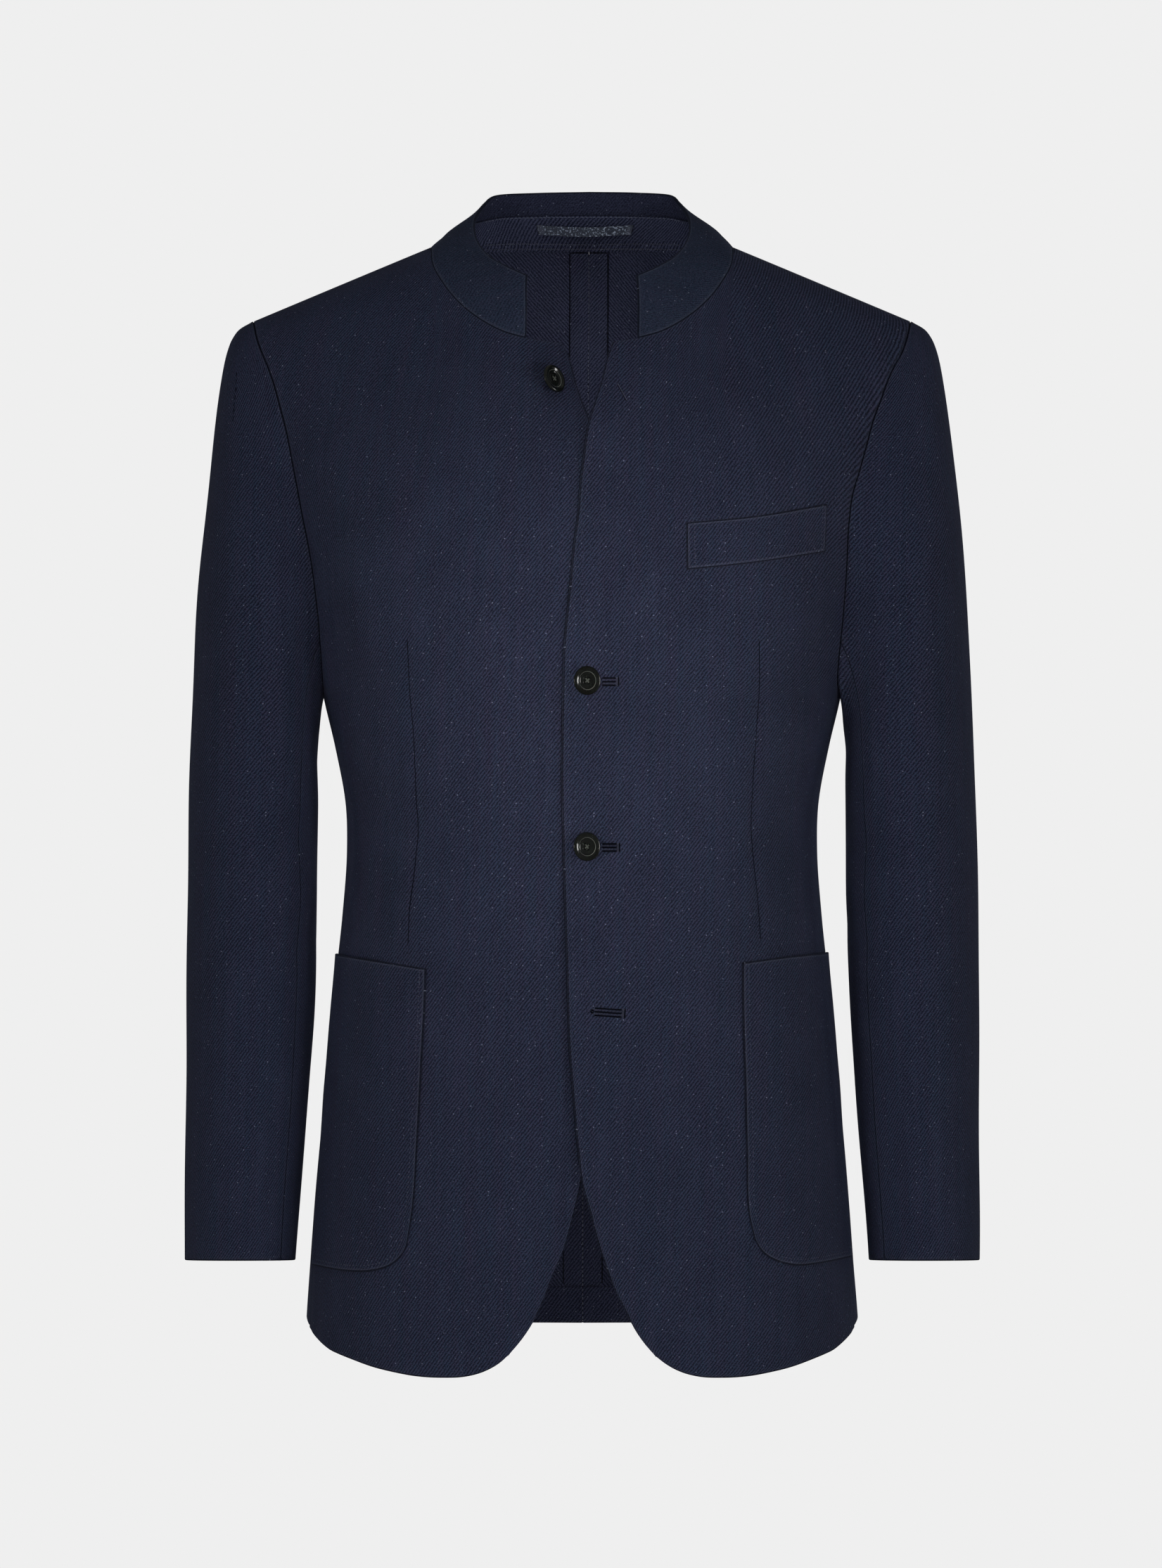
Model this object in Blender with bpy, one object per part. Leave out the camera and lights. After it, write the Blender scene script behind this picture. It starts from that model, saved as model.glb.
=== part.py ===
"""A stand-collar wool jacket, filled out as if worn, with its fronts lapped and buttoned.

Frame: metres, +Z up. The jacket faces -Y and the wearer's left is +X. The origin is in the middle of
the neck, level with the points where the shoulder seams meet the collar.

Every cloth piece is a thin wall. Its outer face is a patch of one smooth torso or sleeve form, cut
along named seam lines that are given as a front view shows them, and its inner face is the same
patch moved in by the cloth's thickness. Lengths below are in millimetres until they meet Blender.
"""

import math

import bmesh
import bpy
import numpy as np

MM = 0.001

# ---------------------------------------------------------------- cloth
BODY_CLOTH = 2.0
SLEEVE_CLOTH = 1.8
COLLAR_CLOTH = 2.4
TRIM_CLOTH = 1.2
SEAM_PULL = 0.2          # each edge stops this far short of its seam line
LAY_GAP = 0.6            # what lies on a panel stays this far off it

# ---------------------------------------------------------------- torso form
ARMPIT_Z = -315.0
TOP_LEVEL = 300.0        # the level number of the shoulder ridge
RIDGE_PEAK_Z = 44.1      # where the two shoulder lines would meet above the neck
RIDGE_ROUND = 22.0       # how widely they round into each other there
SHOULDER_SLOPE = math.tan(math.radians(22.9))
SECTION_POWER = 2.4      # horizontal sections are super-ellipses of this power
SHOULDER_POWER = 2.6     # how squarely the chest and back turn over into the shoulders
SPINE_X_TOP, SPINE_X_LOW = 4.9, 0.5
SPINE_Z_TOP, SPINE_Z_LOW = -40.0, -640.0

# level: millimetres from the armpit line, down to the hem; above it 0 to 300 runs to the ridge
TORSO = np.array([
    # level, half_width, front_depth, back_depth
    (-480.0, 193.2, 141.0, 137.0),
    (-430.0, 192.0, 139.5, 136.5),
    (-386.0, 189.2, 137.5, 136.0),
    (-298.0, 181.1, 132.5, 132.5),
    (-210.0, 173.0, 126.5, 124.0),
    (-151.0, 166.6, 122.5, 116.0),
    (-107.0, 163.6, 121.0, 112.0),
    (-77.0, 164.2, 121.5, 112.0),
    (-35.0, 171.6, 125.0, 116.0),
    (0.0, 179.8, 128.0, 120.0),
    (60.0, 189.0, 129.5, 124.5),
    (120.0, 199.5, 125.0, 124.0),
    (180.0, 216.0, 110.0, 115.0),
    (218.0, 234.0, 92.0, 102.0),
    (260.0, 255.0, 82.0, 86.0),
    (300.0, 274.0, 77.0, 79.0),
])

# ---------------------------------------------------------------- seam lines, x and z from the front
ARMHOLE = np.array([
    # x, z from the armpit towards the shoulder tip
    (179.8, -315.0), (177.6, -306.0), (178.1, -292.5), (181.3, -260.0), (183.5, -230.8),
    (185.5, -193.0), (187.9, -174.0), (192.8, -157.3), (197.7, -139.7), (202.6, -121.5),
    (208.0, -107.3), (212.4, -94.6), (216.8, -84.8), (221.7, -76.4), (225.6, -66.0),
])
RIGHT_FRONT_ARMHOLE = np.array([
    # the right front's, drawn mirrored, a little straighter
    (179.8, -315.0), (180.2, -306.0), (181.2, -290.0), (183.3, -260.3), (185.5, -240.9),
    (187.9, -222.9), (191.3, -203.5), (194.6, -187.1), (197.6, -170.7), (201.4, -151.2),
    (205.4, -130.3), (210.0, -112.4), (215.0, -94.5), (218.4, -84.8), (222.0, -76.4), (225.8, -66.0),
])
NECK_POINT_X, SHOULDER_TIP_X = 105.1, 228.6     # the shoulder seam's ends, on the ridge
TOP_FRONT_EDGE = np.array([
    # x, z of the lapping front's edge, from the hem's round corner up to the neck corner
    (50.7, -771.8), (42.9, -762.9), (35.5, -751.7), (30.5, -741.4), (22.5, -725.7), (15.4, -706.6),
    (9.6, -688.5), (5.5, -672.5), (0.0, -652.7), (-2.5, -632.6), (-6.1, -593.4), (-9.1, -554.2),
    (-10.5, -505.2), (-12.2, -451.3), (-13.1, -418.5), (-14.0, -378.8), (-13.7, -330.0),
    (-12.6, -283.0), (-8.1, -234.0), (-5.3, -206.0), (-3.2, -190.1), (-1.2, -165.6),
    (1.2, -146.0), (4.5, -124.5), (9.6, -106.8), (13.5, -94.6), (16.9, -80.4), (21.3, -67.6),
])
UNDER_FRONT_EDGE = np.array([
    # x, z of the lapped front's edge, drawn on the wearer's right: negative x is past the centre
    (50.5, -771.0), (42.4, -761.5), (35.3, -751.2), (25.5, -730.6), (18.4, -712.5), (12.5, -699.2),
    (7.6, -681.6), (3.7, -666.4), (0.7, -653.7), (-2.2, -632.6), (-6.1, -593.0), (-9.1, -540.0),
    (-11.5, -471.0), (-13.2, -421.0), (-14.0, -382.0), (-14.0, -348.0), (-13.5, -270.0),
    (-12.5, -221.0), (-11.0, -181.8), (-8.6, -147.5), (-5.1, -121.0), (0.5, -106.0),
    (4.9, -91.9), (6.8, -84.3), (10.0, -74.0), (13.0, -67.6),
])
FRONT_HEM = np.array([
    # x, z from the round corner to the side seam
    (50.7, -771.8), (58.1, -777.6), (63.0, -780.6), (69.3, -783.5), (80.1, -786.4), (98.2, -787.4),
    (115.9, -786.4), (132.5, -783.5), (144.8, -780.6), (161.9, -774.7), (169.3, -771.8), (175.7, -768.8),
    (179.6, -765.9), (185.5, -760.0), (190.0, -753.5),
])
BACK_HEM_Z = -752.5
BACK_HEM = np.array([                           # angle round the section and z, from the centre to the side
    (150.0, -751.6), (125.0, -748.2), (105.0, -746.6), (91.0, -747.2), (83.0, -750.3)])
FRONT_NECK = np.array([
    # x, z from the collar's end towards the shoulder seam
    (38.5, -65.2), (55.0, -60.5), (71.0, -52.0), (86.0, -40.0), (97.0, -26.5), (104.5, -12.0),
])
BACK_NECK = np.array([
    # x, z from near the shoulder seam towards the centre back
    (98.0, -1.2), (85.0, -2.2), (60.0, -2.5), (30.0, -2.5),
])
BACK_NECK_Z = -2.5                              # where it meets the centre back seam
SIDE_SEAM = np.array([
    # level, angle round the section: 90 is the side, less is further forward
    (-480.0, 76.5), (-436.0, 77.5), (-300.0, 82.5), (-180.0, 88.0), (-60.0, 90.0), (0.0, 90.0),
])
UNDERLAP = np.array([
    # z, how far the lapped front lies inside the other at its edge
    (-790.0, 8.6), (-640.0, 8.2), (-580.0, 8.0), (-500.0, 7.4), (-450.0, 4.4), (-420.0, 3.3),
    (-400.0, 3.2), (-200.0, 3.2), (-175.0, 3.4), (-150.0, 4.6), (-121.0, 9.5), (-95.0, 19.0), (-67.0, 27.0),
])
UNDERLAP_START_X, UNDERLAP_FULL_X = -64.0, -12.0

# ---------------------------------------------------------------- collar
COLLAR_TOP = np.array([
    # share of the way from the front end to the centre back, x, y, z of the top edge
    (0.00, 38.0, -62.0, -21.0), (0.12, 51.0, -55.5, -15.0), (0.27, 65.0, -40.0, -6.5),
    (0.38, 72.0, -24.0, 3.0), (0.50, 74.6, -4.0, 15.0), (0.60, 72.5, 13.0, 23.5),
    (0.70, 68.0, 27.0, 31.0), (0.79, 61.0, 36.0, 36.0), (0.89, 35.0, 43.0, 37.7), (1.00, 0.0, 45.0, 38.3),
])
COLLAR_BULGE = np.array([
    # share of the way from the front end to the centre back, how far the collar swells out
    (0.0, 2.2), (0.3, 2.4), (0.5, 3.6), (0.62, 4.6), (0.78, 4.2), (1.0, 2.2),
])
COLLAR_ROWS = 5
BAND_ROWS = (0.0, 1.0, 2.0, 3.0)      # the neck band's rows, counted in the collar's from its seam
BAND_REACH = 0.46                     # share of each half ring that the band leaves free in front
LOOP_WIDTH, LOOP_LENGTH, LOOP_BOW = 7.0, 62.0, 2.6
LOOP_X, LOOP_HEIGHT = 2.3, 0.33

# ---------------------------------------------------------------- sleeves
SLEEVE = np.array([
    # inner_x, inner_z, outer_x, outer_z, half_depth, centre_y
    (180.2, -315.4, 229.0, -53.9, 55.0, 0.0),
    (181.0, -321.0, 240.8, -63.2, 57.0, 0.0),
    (181.6, -328.0, 246.9, -74.0, 59.0, 0.0),
    (182.1, -337.0, 251.9, -98.5, 62.0, 0.0),
    (182.5, -347.0, 258.3, -142.6, 65.5, 0.5),
    (182.8, -359.0, 263.9, -195.0, 68.5, 1.0),
    (183.1, -373.0, 268.7, -255.0, 70.0, 2.0),
    (183.4, -392.0, 272.1, -325.0, 69.0, 3.0),
    (183.8, -421.0, 274.4, -390.0, 66.0, 2.5),
    (184.3, -464.0, 275.6, -456.0, 62.5, 0.5),
    (186.4, -525.0, 276.2, -523.0, 58.5, -4.0),
    (190.4, -583.0, 276.5, -583.0, 54.5, -9.5),
    (194.8, -642.0, 276.7, -642.0, 50.5, -15.5),
    (198.9, -706.9, 276.8, -706.9, 46.7, -22.0),
])
SLEEVE_POWER = 2.15
CAP_BLEND = 5.0          # rings over which the armhole's own line fades into a plain oval
SLEEVE_RINGS = 22
FOREARM_SEAM, HINDARM_SEAM = 3, 5    # stations up from the armpit, in front and behind

# ---------------------------------------------------------------- pockets
WELT = dict(bottom=((72.4, -226.9), (120.0, -221.8), (169.4, -214.1)),
            top=((72.1, -193.6), (120.0, -189.0), (170.2, -180.3)))
POCKET_LEFT = dict(
    top=((110.7, -499.2), (140.0, -495.3), (170.5, -492.4)),
    inner=((119.3, -691.9), (115.9, -678.0), (113.4, -627.7), (112.0, -570.0), (111.0, -530.0),
           (110.7, -499.2)),
    bottom=((119.3, -691.9), (125.2, -701.2), (135.0, -707.3), (146.8, -710.0), (165.0, -708.6),
            (186.2, -704.6)))
POCKET_RIGHT = dict(
    top=((107.8, -503.4), (140.0, -498.2), (170.5, -493.4)),
    inner=((121.0, -696.0), (117.4, -674.7), (113.4, -617.0), (110.7, -570.0), (108.3, -526.0),
           (107.8, -503.4)),
    bottom=((121.0, -696.0), (125.2, -703.6), (133.5, -710.5), (145.3, -713.9), (165.0, -713.9),
            (186.2, -710.5)))

# ---------------------------------------------------------------- back, inside
SEAM_ALLOWANCE = 13.3
BACK_TURN_UP = 25.5

# ---------------------------------------------------------------- buttons
BUTTON_RADIUS, BUTTON_THICK, BUTTON_RIM = 10.2, 3.0, 1.9
SHANK_RADIUS, SHANK_LENGTH = 1.6, 1.2
BUTTONS = dict(
    # x, z of the shank's foot
    button_upper=(1.6, -303.6), button_lower=(1.4, -418.9), button_bottom=(3.6, -533.6),
    button_top=(-25.0, -96.6))
LEANING_BUTTONS = dict(
    # where the face looks, length of the thread shank
    button_top=((0.72, -0.61, 0.33), 5.8), button_upper=((0.42, -0.91, 0.03), 3.0),
    button_lower=((0.42, -0.91, 0.03), 3.0))

# ---------------------------------------------------------------- grid counts
NECK_EDGE_COLUMNS, NECK_COLUMNS, SHOULDER_COLUMNS, BACK_NECK_COLUMNS = 2, 6, 7, 6
LOWER_ROWS, UPPER_ROWS = 14, 12
FINE_STEPS = 240

COLOURS = dict(wool=(0.016, 0.019, 0.034), collar=(0.013, 0.018, 0.028), tape=(0.045, 0.06, 0.085),
               horn=(0.004, 0.005, 0.005))


# ================================================================ curves and surfaces
def smooth(table, at):
    """Reads a table's later columns at values of its first, on a cubic through its rows. Each row's
    slope is the mean of the slopes on its two sides, each weighted by the other side's length."""
    keys, values = table[:, 0], table[:, 1:]
    steps = np.diff(keys)[:, None]
    slopes = np.diff(values, axis=0) / steps
    inner = (slopes[:-1] * steps[1:] + slopes[1:] * steps[:-1]) / (steps[1:] + steps[:-1])
    tangents = np.concatenate([slopes[:1], inner, slopes[-1:]])
    at = np.clip(np.asarray(at, float), keys[0], keys[-1])
    low = np.clip(np.searchsorted(keys, at, side="right") - 1, 0, len(keys) - 2)
    step = steps[low]
    t = ((at - keys[low])[..., None]) / step
    return (values[low] * (1 + 2 * t) * (1 - t) ** 2 + tangents[low] * step * t * (1 - t) ** 2
            + values[low + 1] * t * t * (3 - 2 * t) + tangents[low + 1] * step * t * t * (t - 1))


def along(points, shares):
    """Points at the given shares of the length of a smooth curve through the given points."""
    points = np.asarray(points, float)
    chords = np.linalg.norm(np.diff(points, axis=0), axis=1)
    keyed = np.column_stack([np.concatenate([[0], np.cumsum(chords)]), points])
    fine = smooth(keyed, np.linspace(0, keyed[-1, 0], 400))
    walked = np.concatenate([[0], np.cumsum(np.linalg.norm(np.diff(fine, axis=0), axis=1))])
    want = np.asarray(shares) * walked[-1]
    return np.stack([np.interp(want, walked, fine[:, k]) for k in range(points.shape[1])], axis=-1)


def unit(vectors):
    return vectors / np.linalg.norm(vectors, axis=-1, keepdims=True)


def ridge_z(x):
    """Height of the shoulder line above a point x from the middle."""
    return RIDGE_PEAK_Z - SHOULDER_SLOPE * np.hypot(x, RIDGE_ROUND)


def signed_power(value, power):
    return np.sign(value) * np.abs(value) ** power


def torso(place, side):
    """The worn torso's outer form. A place is (angle round the section, level); the angle is 0 at the
    front, 90 at the side and 180 at the back. Each level is a super-ellipse, and above the armpits
    its depth closes, as a second super-ellipse, onto the two sloping shoulder lines."""
    angle, level = np.radians(place[..., 0]), np.clip(place[..., 1], TORSO[0, 0], TOP_LEVEL)
    half, front, back = np.moveaxis(smooth(TORSO, level), -1, 0)
    rise = np.clip(level / TOP_LEVEL, 0, 1)
    closing = (1 - rise ** SHOULDER_POWER) ** (1 / SHOULDER_POWER)
    x = half * signed_power(np.sin(angle), 2 / SECTION_POWER)
    forward = signed_power(np.cos(angle), 2 / SECTION_POWER)
    y = -np.where(forward > 0, front, back) * forward * closing
    z = np.where(level > 0, ARMPIT_Z + (ridge_z(x) - ARMPIT_Z) * rise, ARMPIT_Z + level)
    return np.stack([side * x, y, z], axis=-1)


def normals_of(form, place, side):
    """Outward unit normals of a form, from its own small steps round and up. On the shoulder ridge
    they stand square to the shoulder line."""
    round_step, up_step = np.array([0.4, 0.0]), np.array([0.0, 0.8])
    top = np.minimum(place[..., 1] + up_step[1], TOP_LEVEL)
    above = np.stack([place[..., 0], top], axis=-1)
    across = form(place + round_step, side) - form(place - round_step, side)
    upward = form(above, side) - form(place - up_step, side)
    ridge = unit(np.array([side * SHOULDER_SLOPE, 0.0, 1.0]))
    on_ridge = place[..., 1:] > TOP_LEVEL - 0.5
    return np.where(on_ridge, ridge, unit(side * np.cross(across, upward)))


def underlap(points):
    """How far the lapped front lies inside the lapping one, by where its points are."""
    share = np.clip((points[..., 0] - UNDERLAP_START_X) / (UNDERLAP_FULL_X - UNDERLAP_START_X), 0, 1)
    return smooth(UNDERLAP, points[..., 2])[..., 0] * share ** 2


def lapped_torso(place, side):
    """The torso, with its front sunk towards the middle so that it passes under the other front."""
    points = torso(place, side)
    points[..., 1] += underlap(points)
    return points


def locate(xz, behind=False):
    """The place on the torso of a point seen from the front at x and z."""
    xz = np.asarray(xz, float)
    x, z = xz[..., 0], xz[..., 1]
    rise = TOP_LEVEL * (z - ARMPIT_Z) / (ridge_z(x) - ARMPIT_Z)
    level = np.where(z > ARMPIT_Z, np.minimum(rise, TOP_LEVEL), z - ARMPIT_Z)
    half = smooth(TORSO, level)[..., 0]
    angle = np.degrees(np.arcsin(signed_power(np.clip(x / half, -1, 1), SECTION_POWER / 2)))
    return np.stack([180 - angle if behind else angle, level], axis=-1)


def coons(bottom, top, inner, outer, rows):
    """A grid between four edges: the two rulings added, less what the corners count twice."""
    u = np.linspace(0, 1, len(bottom))[None, :, None]
    v = np.asarray(rows)[:, None, None]
    rulings = (1 - v) * bottom[None] + v * top[None] + (1 - u) * inner[:, None] + u * outer[:, None]
    corners = ((1 - u) * (1 - v) * bottom[0] + u * (1 - v) * bottom[-1]
               + (1 - u) * v * top[0] + u * v * top[-1])
    return rulings - corners


def evenly(places, count):
    """The given number of steps along a line of places, equal in length on the torso."""
    walked = np.linalg.norm(np.diff(torso(places, 1), axis=0), axis=1)
    walked = np.concatenate([[0], np.cumsum(walked)])
    want = np.linspace(0, walked[-1], count + 1)
    return np.stack([np.interp(want, walked, places[:, k]) for k in range(2)], axis=-1)


def straight(start, end):
    return np.linspace(start, end, FINE_STEPS + 1)


# ================================================================ meshes
def material(name, colour, roughness):
    made = bpy.data.materials.get(name) or bpy.data.materials.new(name)
    made.use_nodes = True
    shader = made.node_tree.nodes["Principled BSDF"]
    shader.inputs["Base Color"].default_value = (*colour, 1)
    shader.inputs["Roughness"].default_value = roughness
    shader.inputs["Metallic"].default_value = 0.0
    return made


def add_object(name, points, faces, finish):
    mesh = bpy.data.meshes.new(name)
    mesh.from_pydata((points * MM).tolist(), [], faces)
    work = bmesh.new()
    work.from_mesh(mesh)
    bmesh.ops.recalc_face_normals(work, faces=work.faces)
    work.to_mesh(mesh)
    work.free()
    mesh.shade_smooth()
    mesh.materials.append(finish)
    made = bpy.data.objects.new(name, mesh)
    bpy.context.scene.collection.objects.link(made)
    return made


def pulled(grid, amount=SEAM_PULL):
    """The grid with each of its four edges drawn back along the cloth."""
    grid = grid.copy()
    grid[0] += amount * unit(grid[1] - grid[0])
    grid[-1] += amount * unit(grid[-2] - grid[-1])
    grid[:, 0] += amount * unit(grid[:, 1] - grid[:, 0])
    grid[:, -1] += amount * unit(grid[:, -2] - grid[:, -1])
    return grid


def wall(name, outer, inner, finish):
    """One closed wall between two grids of the same size, in triangles whose diagonals all run alike,
    so that walls made from the same points stay parallel."""
    rows, columns = outer.shape[:2]
    points = np.concatenate([pulled(outer).reshape(-1, 3), pulled(inner).reshape(-1, 3)])
    index = np.arange(2 * rows * columns).reshape(2, rows, columns)

    def triangles(a):
        first, second, third, fourth = a[:-1, :-1], a[:-1, 1:], a[1:, 1:], a[1:, :-1]
        halves = np.stack([first, second, third, first, third, fourth], axis=-1)
        return halves.reshape(-1, 3)

    rims = [index[:, 0, :], index[:, -1, :], index[:, :, 0], index[:, :, -1]]
    sheets = [triangles(index[0]), triangles(index[1])[:, ::-1]]
    faces = np.concatenate(sheets + [triangles(rim) for rim in rims])
    return add_object(name, points, faces.tolist(), finish)


# ================================================================ the body's panels
UPPER_SHARES = (1 - np.cos(np.linspace(0, math.pi, UPPER_ROWS + 1))) / 2
LOWER_SHARES = np.linspace(0, 1, LOWER_ROWS + 1)


def ridge_point(x):
    return np.array([(x, ridge_z(x))])


def armhole(behind, side):
    """Places up the armhole's edge, spaced by height as the sleeve's stations are."""
    table = ARMHOLE if behind or side > 0 else RIGHT_FRONT_ARMHOLE
    line = np.concatenate([table, ridge_point(SHOULDER_TIP_X)])
    heights = ARMPIT_Z + (line[-1, 1] - ARMPIT_Z) * UPPER_SHARES
    x = smooth(line[:, ::-1], heights)[..., 0]
    places = locate(np.stack([x, heights], axis=-1), behind)
    places[0] = (90, 0)
    return places


def side_seam(levels):
    return np.stack([smooth(SIDE_SEAM, levels)[..., 0], levels], axis=-1)


def shoulder(count, behind):
    x = np.linspace(NECK_POINT_X, SHOULDER_TIP_X, count + 1)
    return locate(np.stack([x, ridge_z(x)], axis=-1), behind)


def joined(*runs):
    """Runs of places end to end, each run's first place left out where it repeats the last."""
    return np.concatenate([runs[0]] + [run[1:] for run in runs[1:]])


def two_patches(hem, chest, top, lower_inner, upper_inner, lower_outer, upper_outer):
    lower = coons(hem, chest, lower_inner, lower_outer, LOWER_SHARES)
    upper = coons(chest, top, upper_inner, upper_outer, UPPER_SHARES)
    return np.concatenate([lower, upper[1:]])


def front_neck():
    """The neck seam of a front, from the collar's end to the shoulder seam, as x and z."""
    line = np.concatenate([FRONT_NECK, ridge_point(NECK_POINT_X)])
    return along(line, np.linspace(0, 1, NECK_COLUMNS + 1))


def back_neck(side):
    """The neck seam of a back, from the shoulder seam to the centre back, as x and z."""
    middle = [(side * spine_x(BACK_NECK_Z), BACK_NECK_Z)]
    line = np.concatenate([ridge_point(NECK_POINT_X), BACK_NECK, middle])
    return along(line, np.linspace(0, 1, BACK_NECK_COLUMNS + 1))


def front_places(edge, side):
    """Places of a front panel's grid: rows from the hem up, columns from its front edge to its side."""
    crossing = np.array([(np.interp(ARMPIT_Z, edge[:, 1], edge[:, 0]), ARMPIT_Z)])
    below = np.concatenate([edge[edge[:, 1] < ARMPIT_Z], crossing])
    above = np.concatenate([crossing, edge[edge[:, 1] > ARMPIT_Z]])
    lower_inner = locate(along(below, LOWER_SHARES))
    upper_inner = locate(along(above, UPPER_SHARES))
    columns = NECK_EDGE_COLUMNS + NECK_COLUMNS + SHOULDER_COLUMNS
    chest = evenly(straight(upper_inner[0], (90, 0)), columns)
    step = along([edge[-1], FRONT_NECK[0]], np.linspace(0, 1, NECK_EDGE_COLUMNS + 1))
    top = joined(locate(step), locate(front_neck()), shoulder(SHOULDER_COLUMNS, False))
    line = np.concatenate([edge[:1], FRONT_HEM[1:]])
    hem = locate(along(line, np.linspace(0, 1, FINE_STEPS + 1)))
    lower_outer = side_seam(np.linspace(hem[-1, 1], 0, LOWER_ROWS + 1))
    hem[-1] = lower_outer[0]
    hem = evenly(hem, columns)
    return two_patches(hem, chest, top, lower_inner, upper_inner, lower_outer, armhole(False, side))


def spine_x(z):
    return np.interp(z, (SPINE_Z_LOW, SPINE_Z_TOP), (SPINE_X_LOW, SPINE_X_TOP))


def back_places(side):
    """Places of a back panel's grid: rows from the hem up, columns from the centre seam to the side."""
    def spine(z):
        return locate(np.stack([side * spine_x(z), z], axis=-1), True)

    columns = BACK_NECK_COLUMNS + SHOULDER_COLUMNS
    lower_inner = spine(np.linspace(BACK_HEM_Z, ARMPIT_Z, LOWER_ROWS + 1))
    upper_inner = spine(ARMPIT_Z + (BACK_NECK_Z - ARMPIT_Z) * UPPER_SHARES)
    chest = evenly(straight(upper_inner[0], (90, 0)), columns)
    top = joined(locate(back_neck(side)[::-1], True), shoulder(SHOULDER_COLUMNS, True))
    lower_outer = side_seam(np.linspace(FRONT_HEM[-1, 1] - ARMPIT_Z, 0, LOWER_ROWS + 1))
    curve = np.concatenate([lower_inner[:1], BACK_HEM - (0, ARMPIT_Z), lower_outer[:1]])
    hem = evenly(along(curve, np.linspace(0, 1, 241)), columns)
    return two_patches(hem, chest, top, lower_inner, upper_inner, lower_outer, armhole(True, side))


def armhole_rim(behind):
    """Unit directions from the armhole's edge towards the middle of the hole, station by station. Body
    and sleeve walls both end along them, so that they meet face to face."""
    turn = np.linspace(math.pi, 0, UPPER_ROWS + 1)
    sway = -np.sin(turn) if behind else np.sin(turn)
    return np.stack([0 * turn, sway, -np.cos(turn)], axis=-1)


def body_panel(name, places, form, side, behind, finish):
    outer = form(places, side)
    inner = outer - BODY_CLOTH * normals_of(form, places, side)
    inner[LOWER_ROWS:, -1] = outer[LOWER_ROWS:, -1] + BODY_CLOTH * armhole_rim(behind)
    return wall(name, outer, inner, finish)


def laid(name, places, form, side, low, high, finish):
    """A piece that lies on the torso, from low to high off the cloth's outer face; both are negative
    for one that lies inside."""
    base, out = form(places, side), normals_of(form, places, side)
    return wall(name, base + high * out, base + low * out, finish)


# ================================================================ pockets and the back's inside
def pocket_places(shape):
    """A patch pocket: straight mouth, inner edge and bottom that share a round corner, and the side
    seam as its outer edge."""
    share = np.linspace(0, 1, FINE_STEPS + 1)
    top, bottom = locate(along(shape["top"], share)), locate(along(shape["bottom"], share))
    for edge in (top, bottom):
        edge[-1, 0] = smooth(SIDE_SEAM, edge[-1, 1])[0] - 0.5
    top, bottom = evenly(top, 8), evenly(bottom, 8)
    inner = locate(along(shape["inner"], np.linspace(0, 1, 11)))
    outer = side_seam(np.linspace(bottom[-1, 1], top[-1, 1], 11)) - (0.5, 0.0)
    return coons(bottom, top, inner, outer, np.linspace(0, 1, 11))


def welt_places():
    share = np.linspace(0, 1, 9)
    bottom, top = locate(along(WELT["bottom"], share)), locate(along(WELT["top"], share))
    ends = [np.linspace(bottom[k], top[k], 4) for k in (0, -1)]
    return coons(bottom, top, ends[0], ends[1], np.linspace(0, 1, 4))


def seam_allowance_places(side):
    """A strip beside the centre back seam, from the turned-up hem to the neck, on the panel's own rows."""
    rows = np.concatenate([np.linspace(BACK_HEM_Z, ARMPIT_Z, LOWER_ROWS + 1),
                           ARMPIT_Z + (BACK_NECK_Z - ARMPIT_Z) * UPPER_SHARES[1:]])
    low, high = BACK_HEM_Z + BACK_TURN_UP + 0.5, BACK_NECK_Z - 3.0
    z = np.concatenate([[low], rows[(rows > low + 2) & (rows < high - 2)], [high]])
    across, up = np.meshgrid(np.linspace(0, SEAM_ALLOWANCE, 3), z)
    return locate(np.stack([side * spine_x(up) + across, up], axis=-1), True)


def turn_up_places(side):
    places = back_places(side)[:1]
    grid = np.repeat(places, 3, axis=0)
    grid[..., 1] += np.linspace(0, BACK_TURN_UP, 3)[:, None]
    grid[:, -1, 0] += 1.0
    return grid


# ================================================================ collar
def collar_half(side, form):
    """Base, top edge, the body's normals along the base and the swell of half the collar, from its
    front end to the centre back."""
    front, back = locate(front_neck()), locate(back_neck(side), True)[1:]
    base = np.concatenate([form(front, side), torso(back, side)])
    body_out = np.concatenate([normals_of(form, front, side), normals_of(torso, back, side)])
    walked = np.concatenate([[0], np.cumsum(np.linalg.norm(np.diff(base, axis=0), axis=1))])
    shares = walked / walked[-1]
    top = smooth(COLLAR_TOP, shares)
    top[:, 0] *= side
    top[-1, 0] = base[-1, 0]
    return base, top, body_out, smooth(COLLAR_BULGE, shares)


def grid_normals(grid):
    """Unit normals of a grid that runs clockwise seen from above, pointing out."""
    return unit(np.cross(np.gradient(grid, axis=0), np.gradient(grid, axis=1)))


def collar_grid():
    """The collar's outer face and its normals: rows from seam to top edge, columns from the wearer's
    right front end round the back. It is straight from seam to edge but for a slight outward bulge.
    Along the seam the normals are the body's own, so that the two walls meet face to face."""
    right, left = collar_half(-1, lapped_torso), collar_half(1, torso)
    base, top, body_out, bulge = (np.concatenate([r, l[-2::-1]]) for r, l in zip(right, left))
    height = np.linspace(0, 1, COLLAR_ROWS + 1)[:, None, None]
    flat = base + (top - base) * height
    grid = flat + bulge * np.sin(math.pi * height) * grid_normals(flat)
    out = grid_normals(grid)
    out[0] = body_out
    return grid, out


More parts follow.
